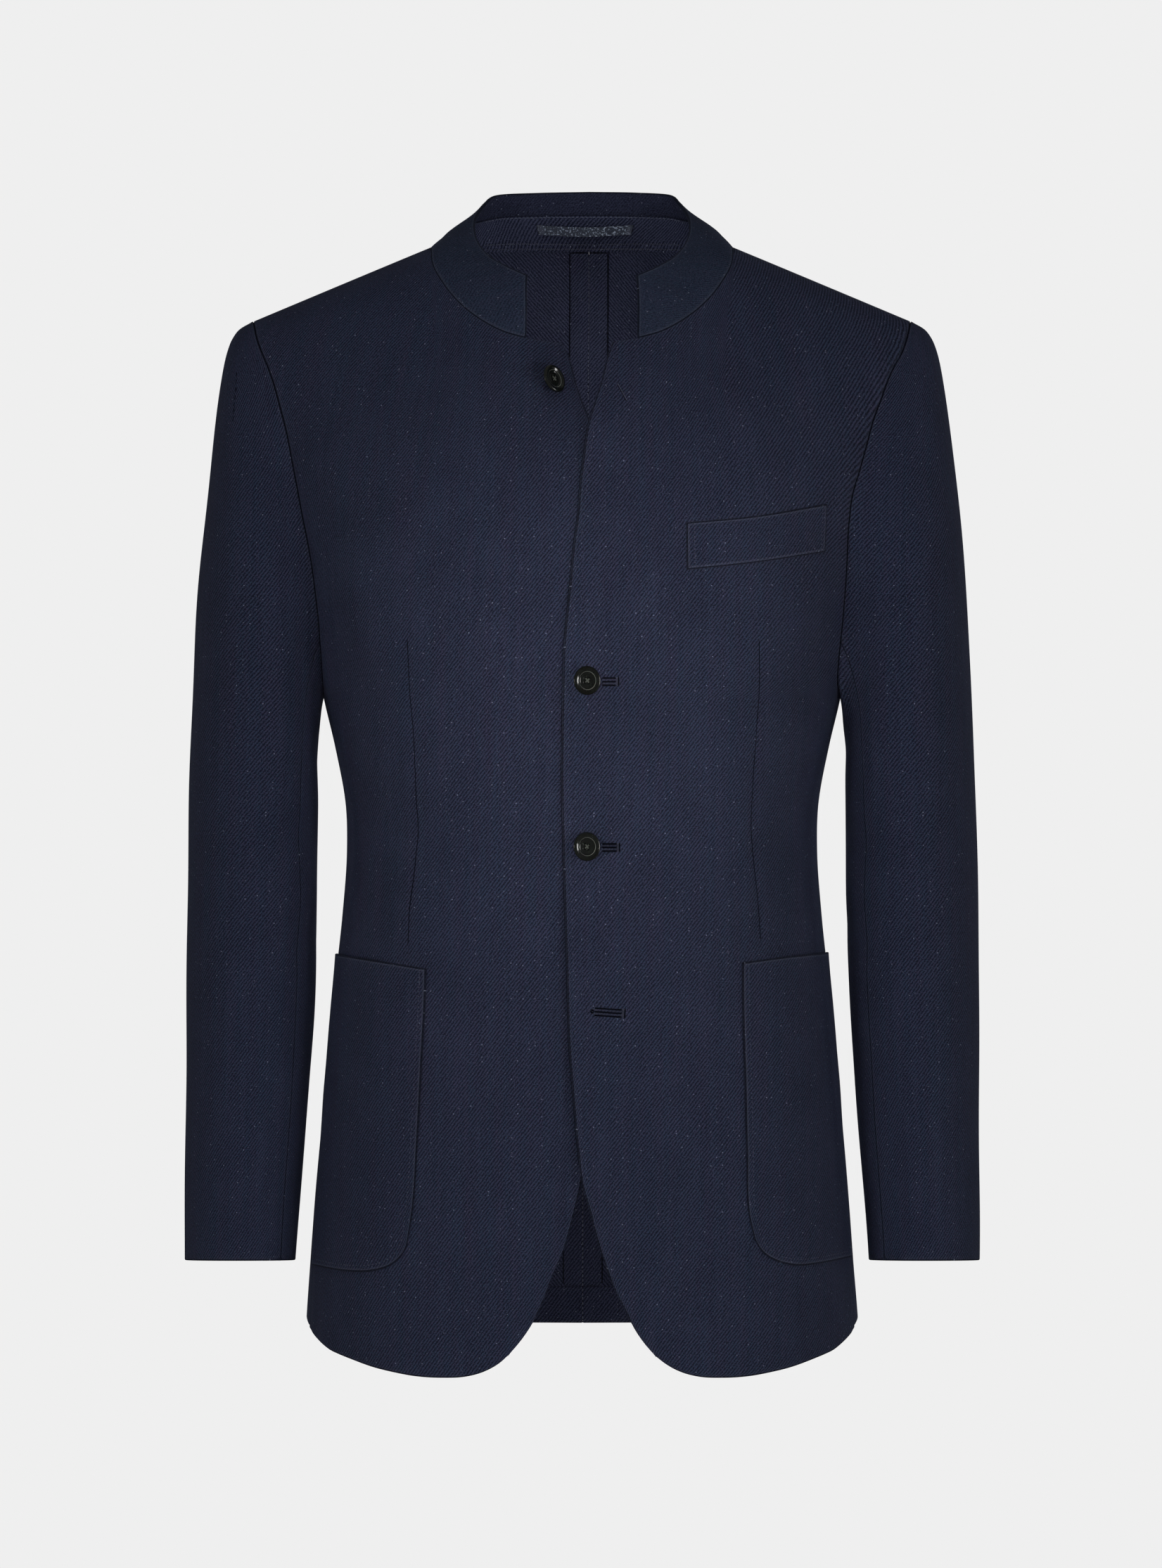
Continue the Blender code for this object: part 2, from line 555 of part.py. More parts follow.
def on_grid(grid, row, column):
    """Points between a grid's own, by straight lines, at fractional rows and columns."""
    r = np.clip(np.floor(row).astype(int), 0, grid.shape[0] - 2)
    c = np.clip(np.floor(column).astype(int), 0, grid.shape[1] - 2)
    a, b = (row - r)[..., None], (column - c)[..., None]
    return ((1 - a) * (1 - b) * grid[r, c] + (1 - a) * b * grid[r, c + 1]
            + a * (1 - b) * grid[r + 1, c] + a * b * grid[r + 1, c + 1])


def make_collar(finish):
    grid, out = collar_grid()
    wall("collar", grid, grid - COLLAR_CLOTH * out, finish)
    return grid, out


def make_neck_band(grid, out, finish):
    """The band shares the collar's columns, so its walls run parallel to the collar's."""
    first = round(BAND_REACH * (grid.shape[1] - 1) / 2)
    columns = np.arange(first, grid.shape[1] - first, dtype=float)
    row, column = np.meshgrid(BAND_ROWS, columns, indexing="ij")
    base, normal = on_grid(grid, row, column), unit(on_grid(out, row, column))
    near = COLLAR_CLOTH + LAY_GAP
    wall("neck_band", base - near * normal, base - (near + TRIM_CLOTH) * normal, finish)
    return near + TRIM_CLOTH


def make_hanger_loop(grid, out, depth, finish):
    """A flat tape whose ends lie on the band and whose middle bows off it."""
    middle = (grid.shape[1] - 1) / 2
    row_step = np.linalg.norm(grid[-1, round(middle)] - grid[0, round(middle)]) / (grid.shape[0] - 1)
    column_step = np.linalg.norm(grid[0, round(middle) + 1] - grid[0, round(middle)])
    along_tape = np.linspace(-0.5, 0.5, 13)
    columns = middle + (LOOP_X - SPINE_X_TOP + LOOP_LENGTH * along_tape) / column_step
    rows = LOOP_HEIGHT * (grid.shape[0] - 1) + np.array([-0.5, 0.5]) * LOOP_WIDTH / row_step
    row, column = np.meshgrid(rows, columns, indexing="ij")
    base, normal = on_grid(grid, row, column), unit(on_grid(out, row, column))
    bow = depth + 0.4 + LOOP_BOW * (np.cos(math.pi * along_tape) ** 0.5)[None, :, None]
    wall("hanger_loop", base - bow * normal, base - (bow + 1.0) * normal, finish)


# ================================================================ sleeves
def sleeve_grid(side):
    """The sleeve's outer face: rows from the armhole to the cuff, columns round it from the shoulder
    tip by way of the front. Each ring is an oval across a line from inner to outer edge, and the
    first ones are drawn to the armhole's own line."""
    rings = np.linspace(0, len(SLEEVE) - 1, SLEEVE_RINGS + 1)
    keyed = np.column_stack([np.arange(len(SLEEVE)), SLEEVE])
    inner_x, inner_z, outer_x, outer_z, depth, centre_y = smooth(keyed, rings).T[..., None]
    turn = np.linspace(0, 2 * math.pi, 2 * UPPER_ROWS + 1)[None, :-1]
    power = 2 / SLEEVE_POWER
    reach, sway = signed_power(np.cos(turn), power), signed_power(np.sin(turn), power)
    oval = np.stack([(outer_x + inner_x) / 2 + (outer_x - inner_x) / 2 * reach,
                     centre_y - depth * sway,
                     (outer_z + inner_z) / 2 + (outer_z - inner_z) / 2 * reach], axis=-1)
    front, back = torso(armhole(False, side), 1), torso(armhole(True, side), 1)
    hole = np.concatenate([front[::-1], back[1:-1]]) + (2 * SEAM_PULL, 0, 0)
    fade = np.clip(1 - rings / CAP_BLEND, 0, 1)
    fade = (fade * fade * (3 - 2 * fade))[:, None, None]
    return (oval + fade * (hole - oval[0])) * (side, 1, 1)


def make_sleeve(word, side, finish):
    grid = sleeve_grid(side)
    round_it = np.roll(grid, -1, axis=1) - np.roll(grid, 1, axis=1)
    out = unit(side * np.cross(round_it, np.gradient(grid, axis=0)))
    inner = grid - SLEEVE_CLOTH * out
    rim = np.concatenate([armhole_rim(False)[::-1], armhole_rim(True)[1:-1]])
    inner[0] = grid[0] + SLEEVE_CLOTH * rim
    around = 2 * UPPER_ROWS
    forearm, hindarm = UPPER_ROWS - FOREARM_SEAM, UPPER_ROWS + HINDARM_SEAM
    spans = dict(under=np.arange(forearm, hindarm + 1),
                 top=np.arange(hindarm, around + forearm + 1) % around)
    for piece, columns in spans.items():
        wall(f"sleeve_{word}_{piece}", grid[:, columns], inner[:, columns], finish)


# ================================================================ buttons
BUTTON_SIDES = 18


def button_profile(shank):
    """Radius and height of the turned button, from its dished middle over the rim to the shank."""
    r, t = BUTTON_RADIUS, BUTTON_THICK
    return np.array([
        (0, shank + t - 1.3), (r - BUTTON_RIM - 1.2, shank + t - 1.0), (r - BUTTON_RIM, shank + t - 0.1),
        (r - 0.7, shank + t), (r, shank + t - 0.9), (r - 0.5, shank + 0.9), (r - 3.0, shank),
        (SHANK_RADIUS, shank), (SHANK_RADIUS, 0), (0, 0)])


def make_button(name, seat, face, shank, finish):
    profile = button_profile(shank)
    turn = np.arange(BUTTON_SIDES) * 2 * math.pi / BUTTON_SIDES
    sideways = unit(np.cross(face, (0.0, 0.0, 1.0)))
    upward = np.cross(sideways, face)
    rings = profile[1:-1]
    spokes = np.cos(turn)[:, None] * sideways + np.sin(turn)[:, None] * upward
    points = seat + rings[:, None, :1] * spokes[None] + rings[:, None, 1:] * face
    count = len(rings)
    index = np.arange(count * BUTTON_SIDES).reshape(count, BUTTON_SIDES)
    after = np.roll(index, -1, axis=1)
    sides = np.stack([index[:-1], after[:-1], after[1:], index[1:]], axis=-1).reshape(-1, 4).tolist()
    ends = np.array([seat + profile[0, 1] * face, seat + profile[-1, 1] * face])
    first, last = count * BUTTON_SIDES, count * BUTTON_SIDES + 1
    fans = [[first, after[0, k], index[0, k]] for k in range(BUTTON_SIDES)]
    fans += [[last, index[-1, k], after[-1, k]] for k in range(BUTTON_SIDES)]
    add_object(name, np.concatenate([points.reshape(-1, 3), ends]), sides + fans, finish)


def make_buttons(finish):
    for name, (x, z) in BUTTONS.items():
        lapped = name in ("button_top", "button_bottom")
        form, side = (lapped_torso, -1) if lapped else (torso, 1)
        place = locate(np.array([side * x, z]))[None]
        cloth, out = form(place, side)[0], normals_of(form, place, side)[0]
        face, shank, seat = out, SHANK_LENGTH, 0.3
        if name in LEANING_BUTTONS:
            towards, shank = LEANING_BUTTONS[name]
            face = unit(np.array(towards))
            seat += SHANK_RADIUS * np.linalg.norm(np.cross(face, out))
        make_button(name, cloth + seat * out, face, shank, finish)


# ================================================================ the jacket
def main():
    for old in list(bpy.data.objects):
        bpy.data.objects.remove(old, do_unlink=True)
    wool = material("wool_twill", COLOURS["wool"], 0.9)
    collar_wool = material("collar_wool", COLOURS["collar"], 0.9)
    tape = material("loop_tape", COLOURS["tape"], 0.5)
    horn = material("button_horn", COLOURS["horn"], 0.15)

    body_panel("front_left", front_places(TOP_FRONT_EDGE, 1), torso, 1, False, wool)
    body_panel("front_right", front_places(UNDER_FRONT_EDGE, -1), lapped_torso, -1, False, wool)
    lining_low, lining_high = -(BODY_CLOTH + LAY_GAP + TRIM_CLOTH), -(BODY_CLOTH + LAY_GAP)
    for word, side in (("left", 1), ("right", -1)):
        body_panel(f"back_{word}", back_places(side), torso, side, True, wool)
        make_sleeve(word, side, wool)
        laid(f"back_seam_{word}", seam_allowance_places(side), torso, side, lining_low, lining_high, wool)
        laid(f"back_hem_{word}", turn_up_places(side), torso, side, lining_low, lining_high, wool)
    pocket = (LAY_GAP, LAY_GAP + BODY_CLOTH - 0.2)
    laid("pocket_left", pocket_places(POCKET_LEFT), torso, 1, *pocket, wool)
    laid("pocket_right", pocket_places(POCKET_RIGHT), lapped_torso, -1, *pocket, wool)
    laid("breast_welt", welt_places(), torso, 1, *pocket, wool)
    grid, out = make_collar(collar_wool)
    band_depth = make_neck_band(grid, out, wool)
    make_hanger_loop(grid, out, band_depth, tape)
    make_buttons(horn)


main()
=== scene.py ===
# %% [markdown]
# # A navy wool jacket, dressed over its solids
# The solids of this jacket are plain walls. This lesson dresses them: each cloth piece is made again
# as a fine shell on the same form, with rolled edges, soft folds, stitching and a twill weave. The
# jacket faces -Y, its wearer's left is +X, and lengths are millimetres until they meet Blender.

# %% Set up the frame
import math

import bpy
import numpy as np
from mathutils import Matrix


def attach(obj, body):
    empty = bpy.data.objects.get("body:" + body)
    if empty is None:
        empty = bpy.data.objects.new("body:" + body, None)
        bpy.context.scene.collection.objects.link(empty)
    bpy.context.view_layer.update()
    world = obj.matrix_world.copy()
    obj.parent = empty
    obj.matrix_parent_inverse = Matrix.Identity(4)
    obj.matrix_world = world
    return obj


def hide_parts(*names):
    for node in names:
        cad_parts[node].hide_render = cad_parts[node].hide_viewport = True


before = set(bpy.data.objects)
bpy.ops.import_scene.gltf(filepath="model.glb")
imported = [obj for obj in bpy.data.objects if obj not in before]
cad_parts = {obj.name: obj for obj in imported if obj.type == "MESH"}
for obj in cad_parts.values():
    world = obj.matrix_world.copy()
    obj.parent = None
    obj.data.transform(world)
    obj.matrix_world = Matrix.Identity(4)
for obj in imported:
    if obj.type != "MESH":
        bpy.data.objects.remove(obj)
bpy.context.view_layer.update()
MM = 0.001
rng = np.random.default_rng(41)

# %% [markdown]
# ## The studio
# A jacket on a hidden form is lit flat and soft, so that dark wool still shows its weave. A long lens
# keeps the two sleeves parallel. The surround is one even pale grey, and the floor disc glows in the
# same grey, as a white cyclorama does. Large lamps in front light the cloth but are not mirrored. Narrow
# beams lift the chest, belly and skirt, and two lamps at the sides only put a glint on the buttons. Two
# lamps light the back, and two small ones light the inside of the neck and of the back hem.

# %% Camera
VIEW_CENTRE = (-0.7, -375.3)             # x and z that the camera looks at
FRAME_HEIGHT, CAMERA_DISTANCE, SENSOR = 1.0927, 30.0, 36.0


def add(name, data):
    """A new object with the given data, linked to the scene."""
    obj = bpy.data.objects.new(name, data)
    bpy.context.scene.collection.objects.link(obj)
    return obj


camera_data = bpy.data.cameras.new("camera")
camera_data.sensor_width = SENSOR
camera_data.lens = SENSOR * CAMERA_DISTANCE / FRAME_HEIGHT
camera = add("camera", camera_data)
camera.location = (VIEW_CENTRE[0] * MM, -CAMERA_DISTANCE, VIEW_CENTRE[1] * MM)
camera.rotation_euler = (math.pi / 2, 0, 0)
bpy.context.scene.camera = camera
print("lens", round(camera_data.lens, 1), "mm")


# %% Lamps
def lamp(name, place, target, size, power, spread=180, glint=False):
    """A square area lamp at place that faces target, both in metres, with its beam's width in degrees.
    A glint lamp is only seen mirrored in polished things, and any other lamp is never mirrored."""
    data = bpy.data.lights.new(name, "AREA")
    data.shape, data.size, data.energy, data.spread = "SQUARE", size, power, math.radians(spread)
    obj = add(name, data)
    obj.location = place
    aim = np.array(target) - place
    yaw, tilt = math.atan2(aim[0], -aim[1]), math.atan2(math.hypot(aim[0], aim[1]), -aim[2])
    obj.rotation_euler = (tilt, 0, yaw + math.pi)
    obj.visible_camera, obj.visible_glossy, obj.visible_diffuse = False, glint, not glint


CHEST = (0.0, 0.0, -0.38)
lamp("low_key_lamp", (0.0, -3.8, -1.7), CHEST, 1.2, 16.5)
lamp("wide_left_lamp", (-2.6, -2.8, -0.6), CHEST, 0.8, 31)
lamp("wide_right_lamp", (2.6, -2.8, -0.6), CHEST, 0.8, 35)
lamp("near_left_lamp", (-1.6, -3.4, -0.9), CHEST, 0.8, 10)
lamp("near_right_lamp", (1.6, -3.4, -0.9), CHEST, 0.8, 16)
lamp("floor_lamp", (0.0, -2.6, -3.0), CHEST, 1.2, 20)
lamp("top_lamp", (0.0, -2.6, 2.4), CHEST, 1.2, 17)
lamp("chest_beam_lamp", (0.0, -4.0, -0.4), (0.01, 0.0, -0.22), 0.3, 0.135, 6)
lamp("belly_beam_lamp", (0.0, -4.0, -0.6), (0.0, 0.0, -0.42), 0.3, 0.076, 6)
lamp("skirt_beam_lamp", (0.0, -4.0, -1.2), (0.0, 0.0, -0.68), 0.5, 0.175, 11)
lamp("left_glint_lamp", (-3.4, -0.6, -0.3), CHEST, 0.9, 9, glint=True)
lamp("right_glint_lamp", (3.4, -0.6, -0.2), CHEST, 0.9, 17, glint=True)
lamp("back_left_lamp", (0.9, 3.7, 0.2), CHEST, 1.2, 45)
lamp("back_right_lamp", (-0.7, 3.7, -0.6), CHEST, 1.2, 30)
lamp("neck_inside_lamp", (0.005, -0.045, -0.16), (0.005, 0.1, -0.155), 0.10, 0.125)
lamp("hem_inside_lamp", (0.0, -0.045, -0.66), (0.0, 0.1, -0.70), 0.10, 0.028)
bpy.context.scene.view_settings.view_transform = "Standard"


# %% Backdrop and floor
BACKDROP, AMBIENT = 0.863, 0.09                # brightness to the camera and to the cloth
FLOOR_Z, FLOOR_RADIUS, FLOOR_SIDES = -1.32, 14.0, 64
WHITE = (1, 1, 1, 1)


def set_inputs(node, **values):
    """Sets a node's sockets to constants. A space in a socket's name is written as an underscore."""
    for key, value in values.items():
        node.inputs[key.replace("_", " ")].default_value = value


def new_material(name):
    """A material, its node tree and its Principled shader."""
    material = bpy.data.materials.new(name)
    material.use_nodes = True
    return material, material.node_tree, material.node_tree.nodes["Principled BSDF"]


def make_world():
    """The surround is one pale grey to the camera, and a dimmer light to the cloth."""
    world = bpy.data.worlds.new("studio")
    bpy.context.scene.world = world
    world.use_nodes = True
    tree = world.node_tree
    seen, lighting = tree.nodes["Background"], tree.nodes.new("ShaderNodeBackground")
    set_inputs(seen, Color=WHITE, Strength=BACKDROP)
    set_inputs(lighting, Color=WHITE, Strength=AMBIENT)
    mix = tree.nodes.new("ShaderNodeMixShader")
    tree.links.new(tree.nodes.new("ShaderNodeLightPath").outputs["Is Camera Ray"], mix.inputs[0])
    tree.links.new(lighting.outputs[0], mix.inputs[1])
    tree.links.new(seen.outputs[0], mix.inputs[2])
    tree.links.new(mix.outputs[0], tree.nodes["World Output"].inputs["Surface"])


make_world()
turn = np.linspace(0, 2 * math.pi, FLOOR_SIDES + 1)[:-1]
rim = np.stack([FLOOR_RADIUS * np.cos(turn), FLOOR_RADIUS * np.sin(turn), FLOOR_Z + 0 * turn], axis=-1)
floor_mesh = bpy.data.meshes.new("studio_floor")
floor_mesh.from_pydata(rim.tolist(), [], [list(range(FLOOR_SIDES))])
floor = add("studio_floor", floor_mesh)
pale, _, paper = new_material("pale_paper")
set_inputs(paper, Base_Color=(0, 0, 0, 1), Roughness=1.0, Specular_IOR_Level=0.0,
           Emission_Color=(BACKDROP, BACKDROP, BACKDROP, 1), Emission_Strength=1.0)
floor.visible_diffuse = floor.visible_glossy = False
floor_mesh.materials.append(pale)
print("floor level", FLOOR_Z, "m")

# %% [markdown]
# ## The measures
# A tailor works from a form and seam lines. The form is a table of body sections, and each seam is a
# short list of x and z as seen from the front. The solids use the same measures, so the cloth made
# here lies on them without fitting. Everything between the rows comes from one smooth curve.

# %% Form and seam tables
BODY_CLOTH, SLEEVE_CLOTH, COLLAR_CLOTH, TRIM_CLOTH = 2.0, 1.8, 2.4, 1.2
ARMPIT_Z, TOP_LEVEL = -315.0, 300.0
RIDGE_PEAK_Z, RIDGE_ROUND, SHOULDER_SLOPE = 44.1, 22.0, math.tan(math.radians(22.9))
SECTION_POWER, SHOULDER_POWER = 2.4, 2.6
TORSO = np.array([                              # level, half_width, front_depth, back_depth
    (-480.0, 193.2, 141.0, 137.0), (-430.0, 192.0, 139.5, 136.5), (-386.0, 189.2, 137.5, 136.0),
    (-298.0, 181.1, 132.5, 132.5), (-210.0, 173.0, 126.5, 124.0), (-151.0, 166.6, 122.5, 116.0),
    (-107.0, 163.6, 121.0, 112.0), (-77.0, 164.2, 121.5, 112.0), (-35.0, 171.6, 125.0, 116.0),
    (0.0, 179.8, 128.0, 120.0), (60.0, 189.0, 129.5, 124.5), (120.0, 199.5, 125.0, 124.0),
    (180.0, 216.0, 110.0, 115.0), (218.0, 234.0, 92.0, 102.0), (260.0, 255.0, 82.0, 86.0),
    (300.0, 274.0, 77.0, 79.0)])
ARMHOLE = np.array([                            # x, z from the armpit towards the shoulder tip
    (179.8, -315.0), (177.6, -306.0), (178.1, -292.5), (181.3, -260.0), (183.5, -230.8),
    (185.5, -193.0), (187.9, -174.0), (192.8, -157.3), (197.7, -139.7), (202.6, -121.5),
    (208.0, -107.3), (212.4, -94.6), (216.8, -84.8), (221.7, -76.4), (225.6, -66.0)])
RIGHT_FRONT_ARMHOLE = np.array([                # the right front's, drawn mirrored, a little straighter
    (179.8, -315.0), (180.2, -306.0), (181.2, -290.0), (183.3, -260.3), (185.5, -240.9),
    (187.9, -222.9), (191.3, -203.5), (194.6, -187.1), (197.6, -170.7), (201.4, -151.2),
    (205.4, -130.3), (210.0, -112.4), (215.0, -94.5), (218.4, -84.8), (222.0, -76.4), (225.8, -66.0)])
NECK_POINT_X, SHOULDER_TIP_X = 105.1, 228.6
TOP_FRONT_EDGE = np.array([                     # x, z from the hem's round corner to the neck corner
    (50.7, -771.8), (42.9, -762.9), (35.5, -751.7), (30.5, -741.4), (22.5, -725.7), (15.4, -706.6),
    (9.6, -688.5), (5.5, -672.5), (0.0, -652.7), (-2.5, -632.6), (-6.1, -593.4), (-9.1, -554.2),
    (-10.5, -505.2), (-12.2, -451.3), (-13.1, -418.5), (-14.0, -378.8), (-13.7, -330.0),
    (-12.6, -283.0), (-8.1, -234.0), (-5.3, -206.0), (-3.2, -190.1), (-1.2, -165.6),
    (1.2, -146.0), (4.5, -124.5), (9.6, -106.8), (13.5, -94.6), (16.9, -80.4), (21.3, -67.6)])
UNDER_FRONT_EDGE = np.array([                   # the lapped front's edge, drawn mirrored
    (50.5, -771.0), (42.4, -761.5), (35.3, -751.2), (25.5, -730.6), (18.4, -712.5), (12.5, -699.2),
    (7.6, -681.6), (3.7, -666.4), (0.7, -653.7), (-2.2, -632.6), (-6.1, -593.0), (-9.1, -540.0),
    (-11.5, -471.0), (-13.2, -421.0), (-14.0, -382.0), (-14.0, -348.0), (-13.5, -270.0),
    (-12.5, -221.0), (-11.0, -181.8), (-8.6, -147.5), (-5.1, -121.0), (0.5, -106.0),
    (4.9, -91.9), (6.8, -84.3), (10.0, -74.0), (13.0, -67.6)])
FRONT_HEM = np.array([                          # x, z from the round corner to the side seam
    (50.7, -771.8), (58.1, -777.6), (63.0, -780.6), (69.3, -783.5), (80.1, -786.4), (98.2, -787.4),
    (115.9, -786.4), (132.5, -783.5), (144.8, -780.6), (161.9, -774.7), (169.3, -771.8),
    (175.7, -768.8), (179.6, -765.9), (185.5, -760.0), (190.0, -753.5)])
BACK_HEM_Z, BACK_NECK_Z = -752.5, -2.5
BACK_HEM = np.array([                           # angle round the section and z, from the centre to the side
    (150.0, -751.6), (125.0, -748.2), (105.0, -746.6), (91.0, -747.2), (83.0, -750.3)])
FRONT_NECK = np.array([                         # x, z from the collar's end towards the shoulder seam
    (38.5, -65.2), (55.0, -60.5), (71.0, -52.0), (86.0, -40.0), (97.0, -26.5), (104.5, -12.0)])
BACK_NECK = np.array([                          # x, z from the shoulder seam towards the centre back
    (98.0, -1.2), (85.0, -2.2), (60.0, -2.5), (30.0, -2.5)])
SIDE_SEAM = np.array([                          # level, angle round the section
    (-480.0, 76.5), (-436.0, 77.5), (-300.0, 82.5), (-180.0, 88.0), (-60.0, 90.0), (0.0, 90.0)])
UNDERLAP = np.array([                           # z, how far the lapped front lies inside the other
    (-790.0, 8.6), (-640.0, 8.2), (-580.0, 8.0), (-500.0, 7.4), (-450.0, 4.4), (-420.0, 3.3),
    (-400.0, 3.2), (-200.0, 3.2), (-175.0, 3.4), (-150.0, 4.6), (-121.0, 9.5), (-95.0, 19.0),
    (-67.0, 27.0)])
UNDERLAP_START_X, UNDERLAP_FULL_X = -64.0, -12.0
SPINE_X, SPINE_Z = (0.5, 4.9), (-640.0, -40.0)   # the centre back seam leans a little
print("levels in the form:", len(TORSO), "points up the front edge:", len(TOP_FRONT_EDGE))


# %% Smooth curves
CURVE_POINTS, LINE_POINTS = 400, 241           # on a curve and on a panel's edge before it is shared out


def smooth(table, at):
    """Reads a table's later columns at values of its first, on a cubic through its rows: each row's
    slope is the mean of the slopes beside it, each weighted by the other side's length."""
    keys, values = table[:, 0], table[:, 1:]
    steps = np.diff(keys)[:, None]
    slopes = np.diff(values, axis=0) / steps
    inner = (slopes[:-1] * steps[1:] + slopes[1:] * steps[:-1]) / (steps[1:] + steps[:-1])
    tangents = np.concatenate([slopes[:1], inner, slopes[-1:]])
    at = np.clip(np.asarray(at, float), keys[0], keys[-1])
    low = np.clip(np.searchsorted(keys, at, side="right") - 1, 0, len(keys) - 2)
    step, t = steps[low], ((at - keys[low]) / steps[low, 0])[..., None]
    return (values[low] * (1 + 2 * t) * (1 - t) ** 2 + tangents[low] * step * t * (1 - t) ** 2
            + values[low + 1] * t * t * (3 - 2 * t) + tangents[low + 1] * step * t * t * (t - 1))


def walked(points):
    """Distance walked along a line of points, from its first."""
    return np.concatenate([[0], np.cumsum(np.linalg.norm(np.diff(points, axis=0), axis=1))])


def along(points, shares):
    """Points at the given shares of the length of a smooth curve through the given points."""
    points = np.asarray(points, float)
    keyed = np.column_stack([walked(points), points])
    fine = smooth(keyed, np.linspace(0, keyed[-1, 0], CURVE_POINTS))
    want = np.asarray(shares) * walked(fine)[-1]
    return np.stack([np.interp(want, walked(fine), fine[:, k]) for k in range(points.shape[1])], axis=-1)


def unit(vectors):
    """Each vector over its own length."""
    return vectors / np.linalg.norm(vectors, axis=-1, keepdims=True)


def signed_power(value, power):
    """A power of the size, with the sign kept."""
    return np.sign(value) * np.abs(value) ** power


def smoothstep(value):
    """0 below 0, 1 above 1 and a soft S between them."""
    value = np.clip(value, 0, 1)
    return value * value * (3 - 2 * value)


print("a third of the way along the neck:", np.round(along(FRONT_NECK, [1 / 3]), 1))


# %% [markdown]
# ## The worn form
# A worn jacket's body is close to a stack of super-ellipses, rounder than a box and squarer than an
# oval. Above the armpits the depth closes onto two sloping shoulder lines. Two numbers place a point:
# the angle round the section and the level. A seam drawn from the front is turned into them once.

# %% The torso as a function of angle and level
ROUND_STEP, UP_STEP = 0.4, 0.8                 # degrees and levels, the steps that a normal is taken from


def ridge_z(x):
    """The shoulder line's height at x: two slopes, rounded where they would meet."""
    return RIDGE_PEAK_Z - SHOULDER_SLOPE * np.hypot(x, RIDGE_ROUND)


def torso(place, side):
    """Each level is a super-ellipse: |x / half|^p + |y / depth|^p = 1. Above the armpits the depth is
    multiplied by (1 - rise^q)^(1/q), and the height runs to the shoulder line in step with rise."""
    angle, level = np.radians(place[..., 0]), np.clip(place[..., 1], TORSO[0, 0], TOP_LEVEL)
    half, front, back = np.moveaxis(smooth(TORSO, level), -1, 0)
    rise = np.clip(level / TOP_LEVEL, 0, 1)
    closing = (1 - rise ** SHOULDER_POWER) ** (1 / SHOULDER_POWER)
    x = half * signed_power(np.sin(angle), 2 / SECTION_POWER)
    forward = signed_power(np.cos(angle), 2 / SECTION_POWER)
    y = -np.where(forward > 0, front, back) * forward * closing
    z = np.where(level > 0, ARMPIT_Z + (ridge_z(x) - ARMPIT_Z) * rise, ARMPIT_Z + level)
    return np.stack([side * x, y, z], axis=-1)


def lapped_torso(place, side):
    """The torso, with its front sunk so that it passes under the other front."""
    points = torso(place, side)
    share = np.clip((points[..., 0] - UNDERLAP_START_X) / (UNDERLAP_FULL_X - UNDERLAP_START_X), 0, 1)
    points[..., 1] += smooth(UNDERLAP, points[..., 2])[..., 0] * share ** 2
    return points


def normals_of(form, place, side):
    """Outward unit normals, from small steps round and up: their cross product."""
    round_step, up_step = np.array([ROUND_STEP, 0.0]), np.array([0.0, UP_STEP])
    above = np.stack([place[..., 0], np.minimum(place[..., 1] + UP_STEP, TOP_LEVEL)], axis=-1)
    across = form(place + round_step, side) - form(place - round_step, side)
    upward = form(above, side) - form(place - up_step, side)
    ridge = unit(np.array([side * SHOULDER_SLOPE, 0.0, 1.0]))
    return np.where(place[..., 1:] > TOP_LEVEL - 0.5, ridge, unit(side * np.cross(across, upward)))


def locate(xz, behind=False):
    """The place on the torso of a point seen from the front at x and z."""
    xz = np.asarray(xz, float)
    x, z = xz[..., 0], xz[..., 1]
    rise = TOP_LEVEL * (z - ARMPIT_Z) / (ridge_z(x) - ARMPIT_Z)
    level = np.where(z > ARMPIT_Z, np.minimum(rise, TOP_LEVEL), z - ARMPIT_Z)
    half = smooth(TORSO, level)[..., 0]
    angle = np.degrees(np.arcsin(signed_power(np.clip(x / half, -1, 1), SECTION_POWER / 2)))
    return np.stack([180 - angle if behind else angle, level], axis=-1)


def locate_at(x, z, behind):
    """The same for lists of x and z apart."""
    return locate(np.stack([x, z], axis=-1), behind)


chest_ring = torso(np.array([(angle, 60.0) for angle in range(181)]), 1)
print("chest girth about", round(2 * walked(chest_ring)[-1]), "mm")


# %% [markdown]
# ## Panels between four seams
# A cut panel has four edges. A Coons patch fills between them: it adds the two rulings across and up,
# and takes away what the corners count twice. The grid is drawn together near every edge, because the
# rolled edge and the seam beside it need finer steps than the plain cloth between them.

# %% Grid shares and the patch
NECK_EDGE_COLUMNS, NECK_COLUMNS, SHOULDER_COLUMNS = 2, 6, 7
FRONT_BREAKS = np.cumsum([NECK_EDGE_COLUMNS, NECK_COLUMNS, SHOULDER_COLUMNS])
BACK_BREAKS = np.cumsum([NECK_COLUMNS, SHOULDER_COLUMNS])
LOWER_ROWS, UPPER_ROWS = 14, 12
FINE = 7                                       # fine steps in each of the solids' own columns and rows
ARMPIT = (90, 0)                               # its angle and level


def close_ends(count):
    """Even steps of 1 / FINE from 0 to count, with two extra ones beside each end."""
    extra = np.array([0.035, 0.07])
    return np.sort(np.concatenate([np.arange(count * FINE + 1) / FINE, extra, count - extra]))


def upper_share(row):
    """Shares of the way up, from 0 to 1, that draw the upper rows together at both ends."""
    return (1 - np.cos(math.pi * np.asarray(row) / UPPER_ROWS)) / 2


